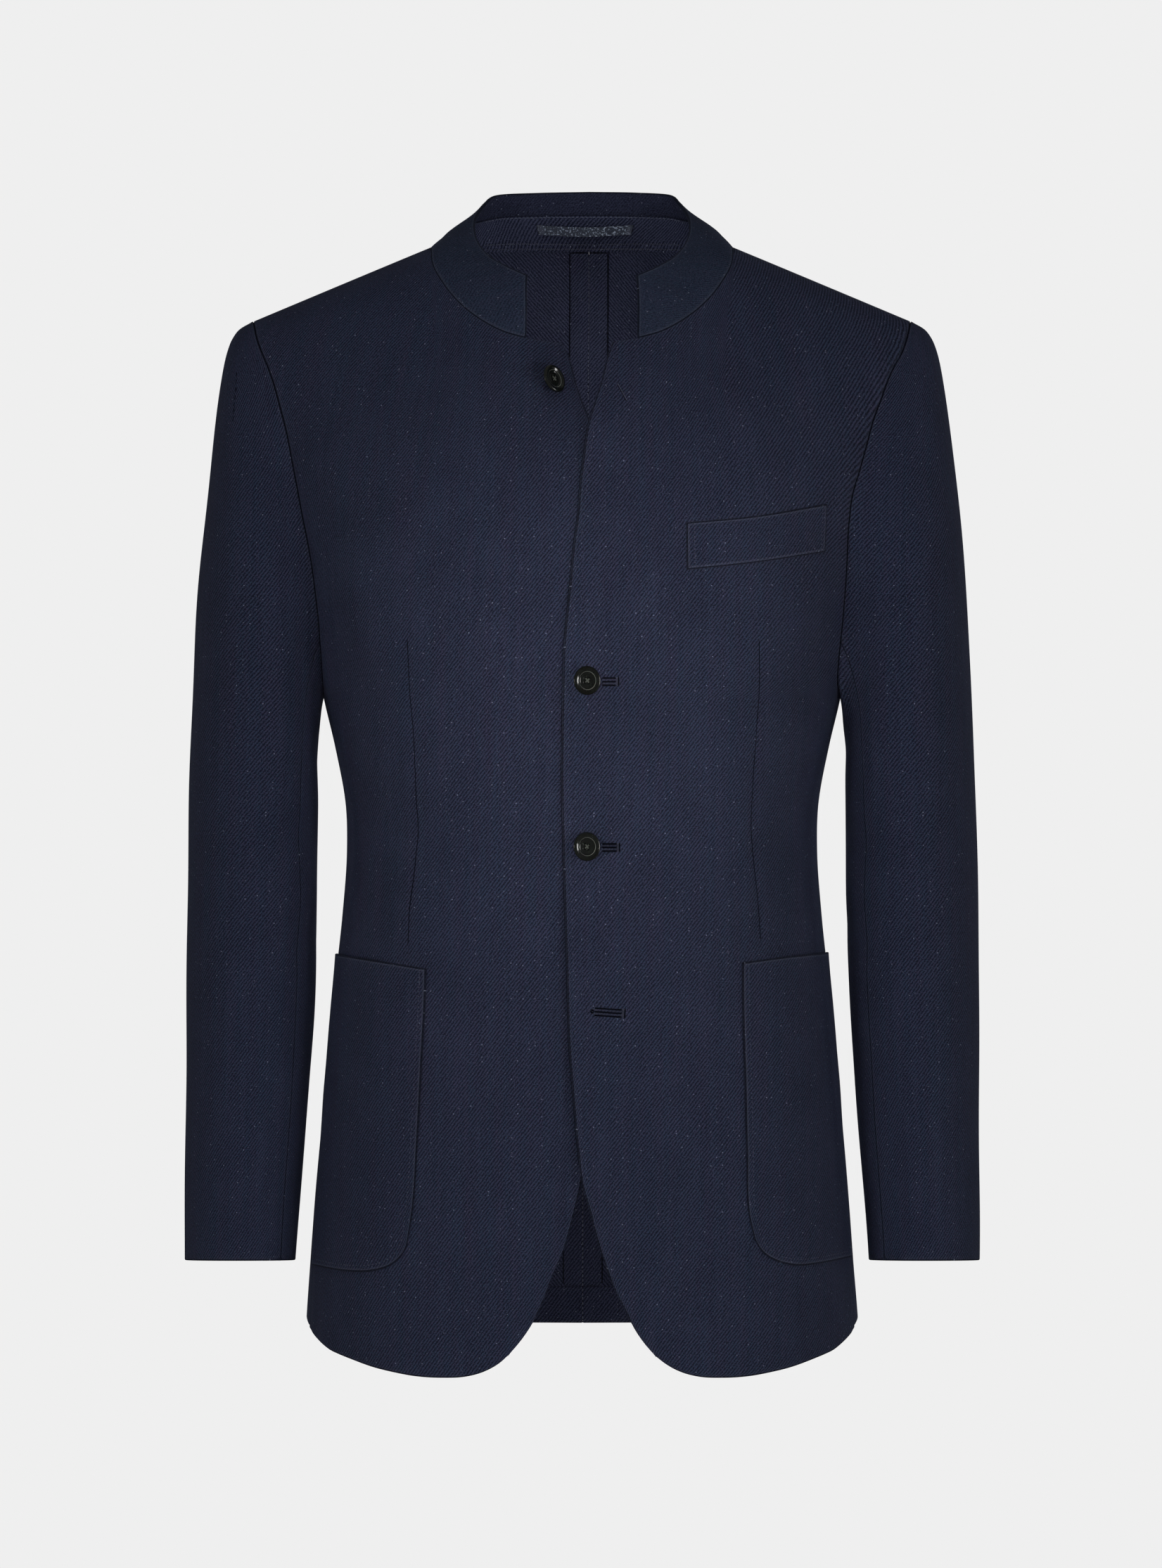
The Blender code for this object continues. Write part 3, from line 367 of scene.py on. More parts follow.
COLUMNS_FRONT, COLUMNS_BACK = close_ends(FRONT_BREAKS[-1]), close_ends(BACK_BREAKS[-1])
LOWER = np.sort(np.concatenate([np.arange(LOWER_ROWS * FINE + 1) / FINE, [0.02, 0.05, 0.09]]))
UPPER = np.arange(UPPER_ROWS * FINE + 1) / FINE


def coons(bottom, top, inner, outer, u, v):
    """(1-v) bottom + v top + (1-u) inner + u outer, less the four corners weighted the same way."""
    u, v = np.asarray(u)[None, :, None], np.asarray(v)[:, None, None]
    rulings = (1 - v) * bottom[None] + v * top[None] + (1 - u) * inner[:, None] + u * outer[:, None]
    return rulings - ((1 - u) * (1 - v) * bottom[0] + u * (1 - v) * bottom[-1]
                      + (1 - u) * v * top[0] + u * v * top[-1])


def evenly(places, shares):
    """Places at shares of a line's length on the torso."""
    length = walked(torso(places, 1))
    return np.stack([np.interp(shares * length[-1], length, places[:, k]) for k in range(2)], axis=-1)


def ridge_point(x):
    return np.array([(x, ridge_z(x))])


def armhole(behind, side):
    """Places up the armhole's edge of a front or a back, from the armpit to the shoulder tip."""
    table = ARMHOLE if behind or side > 0 else RIGHT_FRONT_ARMHOLE
    line = np.concatenate([table, ridge_point(SHOULDER_TIP_X)])
    heights = ARMPIT_Z + (line[-1, 1] - ARMPIT_Z) * upper_share(UPPER)
    places = locate_at(smooth(line[:, ::-1], heights)[..., 0], heights, behind)
    places[0] = ARMPIT
    return places


def side_seam(levels):
    """Places up the side seam at the given levels."""
    return np.stack([smooth(SIDE_SEAM, levels)[..., 0], levels], axis=-1)


def shoulder(shares, behind):
    """Places along the shoulder seam, at shares of the way from the neck to the tip."""
    x = NECK_POINT_X + (SHOULDER_TIP_X - NECK_POINT_X) * shares
    return locate_at(x, ridge_z(x), behind)


def front_neck(shares):
    """x and z along a front's neck seam, from the collar's end to the shoulder seam."""
    return along(np.concatenate([FRONT_NECK, ridge_point(NECK_POINT_X)]), shares)


def spine_x(z):
    """How far to the left the centre back seam runs at a height."""
    return np.interp(z, SPINE_Z, SPINE_X)


def back_neck(side, shares):
    """x and z along a back's neck seam, from the shoulder seam to the centre."""
    middle = [(side * spine_x(BACK_NECK_Z), BACK_NECK_Z)]
    return along(np.concatenate([ridge_point(NECK_POINT_X), BACK_NECK, middle]), shares)


def chest_line(inner):
    """Places across a panel at the armpit's level, from its inner edge to the side."""
    return np.linspace(inner, ARMPIT, LINE_POINTS)


print("front grid", len(COLUMNS_FRONT), "by", len(LOWER) + len(UPPER) - 1)


# %% Front and back panels as places on the torso
def spans(columns, breaks):
    """The columns cut at whole-number breaks, each part as shares from 0 to 1 of its own span."""
    ends = (0, *breaks)
    return [(columns[(columns >= a) & (columns <= b)] - a) / (b - a) for a, b in zip(ends, ends[1:])]


def joined(*runs):
    """Runs end to end, with each meeting point kept once."""
    return np.concatenate([runs[0]] + [run[1:] for run in runs[1:]])


def two_patches(hem, chest, top, inner, outer, u):
    """A patch from the hem to the armpit's level and one above it. Inner and outer are pairs of edges."""
    lower = coons(hem, chest, inner[0], outer[0], u, LOWER / LOWER_ROWS)
    upper = coons(chest, top, inner[1], outer[1], u, upper_share(UPPER))
    return joined(lower, upper)


def front_places(edge, side):
    """A front panel: rows from the hem up, columns from its front edge to its side."""
    crossing = np.array([(np.interp(ARMPIT_Z, edge[:, 1], edge[:, 0]), ARMPIT_Z)])
    below = np.concatenate([edge[edge[:, 1] < ARMPIT_Z], crossing])
    above = np.concatenate([crossing, edge[edge[:, 1] > ARMPIT_Z]])
    lower_inner = locate(along(below, LOWER / LOWER_ROWS))
    upper_inner = locate(along(above, upper_share(UPPER)))
    u = COLUMNS_FRONT / COLUMNS_FRONT[-1]
    a, b, c = spans(COLUMNS_FRONT, FRONT_BREAKS)
    top = joined(locate(along([edge[-1], FRONT_NECK[0]], a)), locate(front_neck(b)), shoulder(c, False))
    chest = evenly(chest_line(upper_inner[0]), u)
    hem = locate(along(np.concatenate([edge[:1], FRONT_HEM[1:]]), np.linspace(0, 1, LINE_POINTS)))
    seam = side_seam(hem[-1, 1] * (1 - LOWER / LOWER_ROWS))
    hem[-1] = seam[0]
    inner, outer = (lower_inner, upper_inner), (seam, armhole(False, side))
    return two_patches(evenly(hem, u), chest, top, inner, outer, u)


def back_places(side):
    """A back panel: rows from the hem up, columns from the centre seam to the side."""
    def spine(z):
        return locate_at(side * spine_x(z), z, True)

    u = COLUMNS_BACK / COLUMNS_BACK[-1]
    a, b = spans(COLUMNS_BACK, BACK_BREAKS)
    lower_inner = spine(BACK_HEM_Z + (ARMPIT_Z - BACK_HEM_Z) * LOWER / LOWER_ROWS)
    upper_inner = spine(ARMPIT_Z + (BACK_NECK_Z - ARMPIT_Z) * upper_share(UPPER))
    chest = evenly(chest_line(upper_inner[0]), u)
    top = joined(locate(back_neck(side, 1 - a), True), shoulder(b, True))
    seam = side_seam((FRONT_HEM[-1, 1] - ARMPIT_Z) * (1 - LOWER / LOWER_ROWS))
    curve = np.concatenate([lower_inner[:1], BACK_HEM - (0, ARMPIT_Z), seam[:1]])
    hem = evenly(along(curve, np.linspace(0, 1, LINE_POINTS)), u)
    return two_patches(hem, chest, top, (lower_inner, upper_inner), (seam, armhole(True, side)), u)


FRONTS = {1: front_places(TOP_FRONT_EDGE, 1), -1: front_places(UNDER_FRONT_EDGE, -1)}
SIDES = (("left", 1, torso), ("right", -1, lapped_torso))
print("front panel places:", FRONTS[1].shape)

# %% [markdown]
# ## Folds placed one by one
# Firm wool on a filled form lies almost flat: it has a few long, shallow folds where it turns over the
# shoulder, pulls from a button or hangs free at the skirt. Each is one row of a table: a line on the
# cloth, a width and a height. The height fades to the sides as a bell curve, and to nothing at the
# line's two ends, so no fold starts or stops sharply. A faint random unevenness runs under them all.

# %% Fold tables
FRONT_FOLDS = np.array([                        # x0, z0, x1, z1 (x away from the centre), width, height
    (30, -310, 150, -345, 16, -0.9), (25, -300, 135, -262, 20, -0.7), (30, -425, 150, -405, 18, -0.8),
    (25, -430, 140, -470, 20, 0.9), (178, -250, 150, -330, 13, -1.3), (172, -215, 140, -300, 15, 1.2),
    (180, -150, 166, -235, 9, -1.2), (60, -95, 35, -200, 22, -1.2), (88, -75, 110, -190, 26, 1.0),
    (30, -560, 48, -770, 20, 1.5), (72, -540, 88, -782, 20, -1.4), (112, -470, 120, -500, 12, -0.5),
    (140, -470, 150, -770, 24, 1.0), (205, -75, 150, -130, 18, -0.9), (120, -20, 175, -45, 16, 0.6)], float)
BACK_FOLDS = np.array([
    (150, -140, 172, -260, 13, -2.3), (132, -150, 150, -330, 15, 2.4), (30, -395, 150, -375, 13, -2.2),
    (22, -430, 150, -440, 15, 2.0), (35, -350, 140, -335, 13, -1.6), (60, -470, 82, -750, 24, 2.9),
    (110, -460, 128, -750, 20, -2.7), (25, -520, 30, -750, 18, -1.8), (20, -30, 90, -50, 11, -1.5),
    (95, -60, 70, -240, 26, 1.8), (205, -80, 160, -120, 14, -1.6)], float)
SLEEVE_FOLDS = np.array([                       # angle, z (0 is outside, 90 front), twice, width, height
    (122, -130, 138, -330, 8, 1.5),
    (40, -60, 60, -170, 13, -1.1), (95, -110, 110, -250, 14, 1.0), (120, -250, 150, -345, 11, -1.6),
    (150, -330, 200, -372, 12, -1.4), (95, -425, 172, -398, 12, -1.5), (85, -470, 170, -440, 13, 1.2),
    (120, -500, 185, -470, 11, -1.1), (60, -430, 90, -690, 20, 1.0), (110, -540, 118, -700, 13, -1.2),
    (310, -80, 300, -200, 14, -1.1), (255, -120, 235, -300, 16, 1.3), (215, -300, 300, -345, 15, -1.3),
    (210, -440, 290, -470, 16, 1.3), (200, -400, 280, -425, 14, -1.4),
    (250, -520, 262, -700, 18, -1.1)], float)
print("folds:", len(FRONT_FOLDS), "in front,", len(BACK_FOLDS), "behind,", len(SLEEVE_FOLDS), "a sleeve")


# %% Folds and unevenness as height fields
def to_lines(flat, start, run):
    """How far along each line, from 0 to 1, the point nearest to each of flat's lies, and its distance."""
    offset = flat[..., None, :] - start
    t = np.clip((offset * run).sum(-1) / (run ** 2).sum(-1), 0, 1)
    return t, np.linalg.norm(offset - t[..., None] * run, axis=-1)


def folds(flat, table):
    """Sum over the table of height * exp(-(distance to the line / width)^2) * (1 - (2t - 1)^4), where
    t is how far along the line the nearest point lies."""
    t, distance = to_lines(flat, table[:, :2], table[:, 2:4] - table[:, :2])
    return (table[:, 5] * np.exp(-(distance / table[:, 4]) ** 2) * (1 - (2 * t - 1) ** 4)).sum(-1)


WAVE_COUNT, WAVE_LENGTH = 18, 190
WAVES = rng.normal(size=(WAVE_COUNT, 3)) * (2 * math.pi / WAVE_LENGTH)
PHASES = rng.uniform(0, 2 * math.pi, WAVE_COUNT)


def uneven(points, height=0.42):
    """The sum of sine waves in space, each with its own direction and phase, over the square root of
    half their count, so that height is its root mean square."""
    return height * np.sin(points @ WAVES.T + PHASES).sum(-1) / math.sqrt(WAVE_COUNT / 2)


def edge_distance(points):
    """Distance along the cloth from each grid point to the grid's bottom, top, inner and outer edge."""
    up = np.linalg.norm(np.diff(points, axis=0), axis=-1)
    across = np.linalg.norm(np.diff(points, axis=1), axis=-1)
    bottom = np.concatenate([0 * up[:1], np.cumsum(up, axis=0)])
    inner = np.concatenate([0 * across[:, :1], np.cumsum(across, axis=1)], axis=1)
    return bottom, bottom[-1:] - bottom, inner, inner[:, -1:] - inner


half_front = np.stack(np.meshgrid(np.linspace(0, 190, 96), np.linspace(-780, 0, 390)), axis=-1)
sample = folds(half_front, FRONT_FOLDS)
print("front folds from", round(float(sample.min()), 1), "to", round(float(sample.max()), 1), "mm")


# %% [markdown]
# ## From a grid to a shell of cloth
# A real edge is cloth turned over itself, so it is round, while a sewn seam is nearly square and tight.
# Each shell is the outer grid, the inner grid a cloth's thickness below it, and half an ellipse round
# the rim whose reach is chosen edge by edge. Its UV map is measured on the cloth in millimetres, so
# the weave keeps its true size. A second value keeps how far the closest edge is, -1 on the rim and
# below -2 on the inner face.

# %% The shell
RIM_STEPS = 5
GAP = 0.05                                     # half the gap left along a seam
RIM_MARK, INNER_MARK = -1.0, -2                # what stands for the edge distance on the rim and within
pieces = []


def perimeter(rows, columns):
    """Row and column numbers once round a grid's border."""
    up, across = np.arange(rows - 1), np.arange(columns - 1)
    r = np.concatenate([0 * across, up, 0 * across + rows - 1, rows - 1 - up])
    c = np.concatenate([across, 0 * up + columns - 1, columns - 1 - across, 0 * up])
    return r, c


def drawn_in(grid, reach):
    """The grid drawn in from its bottom, top, inner and outer edges: each point moves away from an
    edge by that edge's reach less a third of its own distance, so rows stay in order."""
    up, across = unit(np.gradient(grid, axis=0)), unit(np.gradient(grid, axis=1))
    for distance, amount, inward in zip(edge_distance(grid), reach, (up, -up, across, -across)):
        grid = grid + np.clip(amount - distance / 3, 0, None)[..., None] * inward
    return grid


def fill_mesh(name, points, faces, uv=None, **values):
    """A smooth mesh of points in millimetres, with the given numbers kept at its points by name."""
    mesh = bpy.data.meshes.new(name)
    mesh.from_pydata((points * MM).tolist(), [], faces)
    if uv is not None:
        corner = np.empty(len(mesh.loops), np.int32)
        mesh.loops.foreach_get("vertex_index", corner)
        mesh.uv_layers.new(name="cloth_mm").data.foreach_set("uv", uv[corner].astype(np.float32).ravel())
    for key, value in values.items():
        mesh.attributes.new(key, "FLOAT", "POINT").data.foreach_set("value", value.astype(np.float32))
    mesh.shade_smooth()
    return mesh


def place(name, mesh, finish, slot, nodes=()):
    """Links a finished mesh as a piece that rides on the jacket and stands for its solids."""
    mesh.materials.append(finish)
    obj = add(name, mesh)
    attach(obj, "root")
    if nodes:
        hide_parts(*nodes)
    pieces.append(name)
    return obj


def quads(a):
    """The four corners of each cell of a grid of point numbers."""
    return np.stack([a[:-1, :-1], a[:-1, 1:], a[1:, 1:], a[1:, :-1]], axis=-1).reshape(-1, 4)


def cloth_shell(name, outer, inner, rolls, uv, finish, slot):
    """A closed shell between two grids, in place of the solid of that name. The rim's ring k is middle +
    cos(a) * half thickness + sin(a) * roll, outwards along the cloth, for angles a between 0 and pi."""
    rows, columns = outer.shape[:2]
    distances = edge_distance(outer)
    nearest = np.min(distances, axis=0)
    reach = [roll + GAP for roll in rolls]
    outer, inner = drawn_in(outer, reach), drawn_in(inner, reach)
    r, c = perimeter(rows, columns)
    middle, half = (outer[r, c] + inner[r, c]) / 2, (outer[r, c] - inner[r, c]) / 2
    low, high, first, last = r == 0, r == rows - 1, c == 0, c == columns - 1
    roll = np.hypot(rolls[0] * low + rolls[1] * high, rolls[2] * first + rolls[3] * last)
    step_r, step_c = 1 * high - low, 1 * last - first
    away = unit(outer[r, c] - outer[r - 2 * step_r, c - 2 * step_c])
    turn = np.linspace(0, math.pi, RIM_STEPS + 2)[1:-1, None, None]
    rim = middle + np.cos(turn) * half + np.sin(turn) * roll[:, None] * away
    index = np.arange(2 * rows * columns).reshape(2, rows, columns)
    new = 2 * rows * columns + np.arange(RIM_STEPS * len(r)).reshape(RIM_STEPS, -1)
    rings = np.concatenate([index[0][r, c][None], new, index[1][r, c][None]])
    after = np.roll(rings, -1, axis=1)
    round_rim = np.stack([rings[:-1], rings[1:], after[1:], after[:-1]], axis=-1).reshape(-1, 4)
    faces = np.concatenate([quads(index[0]), quads(index[1])[:, ::-1], round_rim])
    points = np.concatenate([outer.reshape(-1, 3), inner.reshape(-1, 3), rim.reshape(-1, 3)])
    across, up = outer[:-1, 1:] - outer[:-1, :-1], outer[1:, :-1] - outer[:-1, :-1]
    if (np.cross(up, across) * (outer - inner)[:-1, :-1]).sum() > 0:
        faces = faces[:, ::-1]
    uv = np.concatenate([uv.reshape(-1, 2)] * 2 + [uv[r, c]] * RIM_STEPS)
    on_rim = np.full(RIM_STEPS * len(r), RIM_MARK)
    edge = np.concatenate([nearest.ravel(), INNER_MARK - nearest.ravel(), on_rim])
    mesh = fill_mesh(name + "_cloth", points, faces.tolist(), uv, edge_mm=edge)
    obj = place(name + "_cloth", mesh, finish, slot, [name])


def rows_of_cloth(points, side, behind=False):
    """UV in millimetres: across is the distance round the section from the middle, signed so that it
    grows to a viewer's right, and up is the height plus what a slope adds to it."""
    _, _, inner, _ = edge_distance(points)
    across = np.abs(points[:, :1, 0]) * np.sign(points[:, :1, 0] * side) + inner
    rise = np.diff(points, axis=0)
    slope = np.linalg.norm(rise[..., 1:], axis=-1) - np.abs(rise[..., 2])
    extra = np.concatenate([0 * slope[:1], np.cumsum(slope, axis=0)])
    return np.stack([(-side if behind else side) * across, points[..., 2] + extra], axis=-1)


print("the shell's rim has", RIM_STEPS, "rings")


# %% [markdown]
# ## The wool
# The cloth is a navy twill. Its yarns cross in steps, so fine ribs run up to the right at about fifty
# degrees, two millimetres apart, and on the wrong side they run the other way, which the shell's UV
# map gives for nothing. A soft nap blurs the ribs, pale hairs catch the light here and there, and
# the dye is never quite even. Weave and nap are node groups, because every wool piece shares them.

# %% Helpers for node groups
FLOAT, VECTOR = "NodeSocketFloat", "NodeSocketVector"


def new_group(name, inputs):
    """A shader node group with the named input sockets, and their outputs inside it."""
    group = bpy.data.node_groups.new(name, "ShaderNodeTree")
    for socket, kind, default in inputs:
        made_socket = group.interface.new_socket(socket, in_out="INPUT", socket_type=kind)
        if default is not None:
            made_socket.default_value = default
    return group, group.nodes.new("NodeGroupInput").outputs


def give(group, **values):
    """Makes the group's float outputs from other nodes' outputs."""
    for socket in values:
        group.interface.new_socket(socket, in_out="OUTPUT", socket_type=FLOAT)
    out = group.nodes.new("NodeGroupOutput")
    for socket, value in values.items():
        group.links.new(value, out.inputs[socket])


def wire(tree, kind, settings=None, **values):
    """Adds a node. Values are sockets by name, or by number after an i, each a constant or another
    node's output."""
    node = tree.nodes.new(kind)
    for key, value in (settings or {}).items():
        setattr(node, key, value)
    for key, value in values.items():
        numbered = key[0] == "i" and key[1:].isdigit()
        socket = node.inputs[int(key[1:]) if numbered else key.replace("_", " ")]
        if isinstance(value, bpy.types.NodeSocket):
            tree.links.new(value, socket)
        else:
            socket.default_value = value
    return node


def calc(tree, operation, first, second=0.0, third=0.0, clamp=False):
    """The output of one Math node."""
    settings = dict(operation=operation, use_clamp=clamp)
    return wire(tree, "ShaderNodeMath", settings, i0=first, i1=second, i2=third).outputs[0]


def line_of(tree, value, gain, level, clamp=False):
    """value * gain + level."""
    return calc(tree, "MULTIPLY_ADD", value, gain, level, clamp)


def blend(tree, factor, *colours):
    """A colour mixed from two by a factor. Each is another node's output or red, green and blue."""
    first, second = ((*colour, 1) if isinstance(colour, tuple) else colour for colour in colours)
    return wire(tree, "ShaderNodeMix", dict(data_type="RGBA"), i0=factor, i6=first, i7=second).outputs[2]


def noise(tree, vector, scale, detail=2.0):
    """The value of a noise texture."""
    sockets = dict(Vector=vector, Scale=scale, Detail=detail)
    return wire(tree, "ShaderNodeTexNoise", dict(noise_dimensions="3D"), **sockets).outputs["Fac"]


print("node helpers ready")


# %% Twill ribs
WAVER, RIB_GAIN, YARN_STRETCH = 0.9, 0.7, (0.42, 1.15)


def make_twill():
    """Turns the cloth's millimetres by the rib angle, wavers them with noise, and takes rib = half +
    0.7 sin(2 pi across / pitch), cut at 0 and 1. Short floats along each rib come from noise
    stretched along it."""
    sockets = [("Cloth", VECTOR, None), ("Pitch", FLOAT, 2.0), ("Angle", FLOAT, 0.9)]
    group, given = new_group("twill_ribs", sockets)
    turned = wire(group, "ShaderNodeVectorRotate", dict(rotation_type="Z_AXIS"), Vector=given["Cloth"],
                  Angle=calc(group, "MULTIPLY", given["Angle"], -1.0)).outputs[0]
    parts = wire(group, "ShaderNodeSeparateXYZ", Vector=turned).outputs
    waver = line_of(group, noise(group, given["Cloth"], 0.16), WAVER, -WAVER / 2)
    across = calc(group, "DIVIDE", calc(group, "ADD", parts["Y"], waver), given["Pitch"])
    wave = calc(group, "SINE", calc(group, "MULTIPLY", across, 2 * math.pi))
    stretched = [calc(group, "MULTIPLY", parts[axis], scale) for axis, scale in zip("XY", YARN_STRETCH)]
    yarn = wire(group, "ShaderNodeCombineXYZ", X=stretched[0], Y=stretched[1], Z=0.0).outputs[0]
    give(group, Rib=line_of(group, wave, RIB_GAIN, 0.5, clamp=True), Float=noise(group, yarn, 1.0, 1.0))
    return group


twill = make_twill()
print("twill nodes:", len(twill.nodes))


# %% Nap and lint
PEAK_FROM, PEAK_GAIN = 0.57, 2.2
WARP_SCALE = (0.22, 0.010, 1.0)                # long and narrow, as thick warp yarns are
HUE_GAIN, HUE_LEVEL = 2.6, -1.32
LINT_CHANCE, LINT_REACH, LINT_FADE = 0.72, 0.34, 6.0


def make_nap():
    """Nap is fine noise whose peaks are raised, and tufts are coarser noise. Mottle is broad noise plus
    noise drawn out along the warp, for uneven dye and thick yarns. Hue is noise for the yarns' two
    blues. Lint marks few cells of a Voronoi pattern, near the cell's point, brighter where the
    cell's random number is high."""
    group, given = new_group("wool_nap", [("Cloth", VECTOR, None)])
    cloth = given["Cloth"]
    fine = noise(group, cloth, 1.3, 1.0)
    peaks = calc(group, "MAXIMUM", calc(group, "SUBTRACT", fine, PEAK_FROM), 0.0)
    warp = wire(group, "ShaderNodeVectorMath", dict(operation="MULTIPLY"), i0=cloth, i1=WARP_SCALE).outputs[0]
    broad = calc(group, "MULTIPLY", noise(group, cloth, 0.03, 3.0), 0.3)
    mottle = calc(group, "MULTIPLY_ADD", noise(group, warp, 1.0, 2.0), 0.3, broad)
    yarns = calc(group, "MULTIPLY_ADD", noise(group, warp, 0.8, 1.0), 0.4, noise(group, cloth, 0.75, 1.0))
    flat = dict(voronoi_dimensions="2D")
    cells = wire(group, "ShaderNodeTexVoronoi", flat, Vector=cloth, Scale=0.24).outputs
    chance = wire(group, "ShaderNodeSeparateColor", Color=cells["Color"]).outputs[0]
    reach = calc(group, "MULTIPLY", calc(group, "SUBTRACT", chance, LINT_CHANCE, clamp=True), LINT_REACH)
    marked = calc(group, "LESS_THAN", cells["Distance"], reach)
    give(group, Nap=calc(group, "MULTIPLY_ADD", peaks, PEAK_GAIN, fine), Tuft=noise(group, cloth, 0.55, 1.0),
         Mottle=mottle, Hue=line_of(group, yarns, HUE_GAIN, HUE_LEVEL, clamp=True),
         Lint=calc(group, "MULTIPLY", marked, calc(group, "POWER", chance, LINT_FADE)))
    return group


nap = make_nap()
print("nap nodes:", len(nap.nodes))


# %% Wool materials
# The third colour serves the pale lint flecks and also the painted highlight beside edges.
WOOL_DEEP, WOOL_LIGHT, WOOL_LINT_AND_HIGHLIGHT = (0.0048, 0.0057, 0.0120), (0.0312, 0.0366, 0.0690), (0.17, 0.19, 0.25)
WRONG_SIDE_DEEP, WRONG_SIDE_LIGHT = (0.0065, 0.0078, 0.0175), (0.0400, 0.0450, 0.0820)
# Colour of the painted shade on rolled rims and along edges.
RIM_SHADE = (0.0030, 0.0036, 0.0070)
YARN_TINTS = (0.78, 1.06, 1.03), (1.20, 0.94, 0.98)


NAP_GAIN, TUFT_GAIN, FLECK_LEVEL = 2.7, 1.3, -2.05
MOTTLE_GAIN, MOTTLE_LEVEL, TONE_GAIN = 0.9, -0.27, 0.75
HIGHLIGHT_WIDTH, RIM_STRENGTH, LINT_STRENGTH = 2.0, 0.75, 0.9


def wool(name, deep, light, pitch=2.0, angle=52.0, rib=1.0, relief=0.5, edge_highlight=0.06, line=(0.35, 0.5),
         wrong_side=(WRONG_SIDE_DEEP, WRONG_SIDE_LIGHT)):
    """A woollen finish. Its colour runs from the deep tone in the hollows of the weave to the light one
    on its ribs, with mottle over both. Along an edge runs a line of painted shadow, given as width and
    strength, with a paler band of painted highlight beside it, whose strength is also given. The rolled
    rim itself is darkened with painted shade, and the inner face shows the cloth's wrong side."""
    material, tree, shader = new_material(name)
    cloth = wire(tree, "ShaderNodeUVMap", dict(uv_map="cloth_mm")).outputs[0]
    weave = wire(tree, "ShaderNodeGroup", dict(node_tree=twill), Cloth=cloth, Pitch=pitch,
                 Angle=math.radians(angle)).outputs
    fuzz = wire(tree, "ShaderNodeGroup", dict(node_tree=nap), Cloth=cloth).outputs

    def times(first, second):
        return calc(tree, "MULTIPLY", first, second)

    raised = times(weave["Rib"], line_of(tree, weave["Float"], 0.9, 0.45))
    fleck = line_of(tree, fuzz["Nap"], NAP_GAIN, line_of(tree, fuzz["Tuft"], TUFT_GAIN, FLECK_LEVEL))
    soft = line_of(tree, raised, rib, fleck)
    tone = line_of(tree, soft, TONE_GAIN, 0.45 - 0.34 * rib, clamp=True)
    tone = calc(tree, "ADD", tone, line_of(tree, fuzz["Mottle"], MOTTLE_GAIN, MOTTLE_LEVEL), clamp=True)
    greener, redder = (tuple(c * k for c, k in zip(light, tint)) for tint in YARN_TINTS)
    colour = blend(tree, tone, deep, blend(tree, fuzz["Hue"], greener, redder))
    edge_mm = wire(tree, "ShaderNodeAttribute", dict(attribute_name="edge_mm")).outputs["Fac"]
    within = calc(tree, "LESS_THAN", edge_mm, (RIM_MARK + INNER_MARK) / 2)
    colour = blend(tree, within, colour, blend(tree, tone, *wrong_side))
    # A paler band of painted highlight beside each edge.
    beyond = calc(tree, "DIVIDE", calc(tree, "SUBTRACT", edge_mm, line[0]), HIGHLIGHT_WIDTH)
    highlight_band = calc(tree, "SUBTRACT", 1.0, beyond, clamp=True)
    highlight_band = times(highlight_band, calc(tree, "GREATER_THAN", edge_mm, line[0]))
    colour = blend(tree, times(highlight_band, edge_highlight), colour, WOOL_LINT_AND_HIGHLIGHT)
    # A line of painted shadow along each edge, and painted shade on the rolled rim.
    face = calc(tree, "GREATER_THAN", edge_mm, RIM_MARK / 2)
    shaded = times(face, calc(tree, "LESS_THAN", edge_mm, line[0]))
    colour = blend(tree, times(shaded, line[1]), colour, RIM_SHADE)
    rim = calc(tree, "COMPARE", edge_mm, RIM_MARK, 0.55)
    colour = blend(tree, times(rim, RIM_STRENGTH), colour, RIM_SHADE)
    colour = blend(tree, times(fuzz["Lint"], LINT_STRENGTH), colour, WOOL_LINT_AND_HIGHLIGHT)
    tree.links.new(colour, shader.inputs["Base Color"])
    tree.links.new(line_of(tree, fuzz["Nap"], 0.12, 0.8), shader.inputs["Roughness"])
    height = calc(tree, "ADD", times(raised, 0.6 * rib), times(fuzz["Nap"], 0.7))
    bump = wire(tree, "ShaderNodeBump", Strength=relief, Distance=0.0004, Height=height)
    tree.links.new(bump.outputs[0], shader.inputs["Normal"])
    set_inputs(shader, Specular_IOR_Level=0.18, Sheen_Weight=0.05, Sheen_Roughness=0.55,
               Sheen_Tint=(0.45, 0.5, 0.8, 1))
    return material


# Every wool below has a painted shadow line along its edges and a painted highlight band beside it, strongest
# on the laid pockets and welt.
wool_twill = wool("wool_twill_cloth", WOOL_DEEP, WOOL_LIGHT, rib=1.2, edge_highlight=0.04)
laid_wool = wool("wool_twill_laid", WOOL_DEEP, WOOL_LIGHT, rib=1.2, edge_highlight=0.15, line=(0.95, 0.8))
wool_inside = wool("wool_twill_inside", WRONG_SIDE_DEEP, WRONG_SIDE_LIGHT, rib=1.3, edge_highlight=0.05,
                   line=(1.3, 0.9))
# The collar's inner face gets darker wrong-side colours than the back's inside: painted shade inside the
# collar.
collar_wool = wool("collar_napped_cloth", (0.0060, 0.0082, 0.0165), (0.0262, 0.0342, 0.0620), pitch=1.8,
                   rib=0.5, relief=0.4, edge_highlight=0.09, line=(0.55, 0.65),
                   wrong_side=(WOOL_DEEP, (0.0240, 0.0270, 0.0520)))
print("wool finishes:", [m.name for m in (wool_twill, laid_wool, wool_inside, collar_wool)])


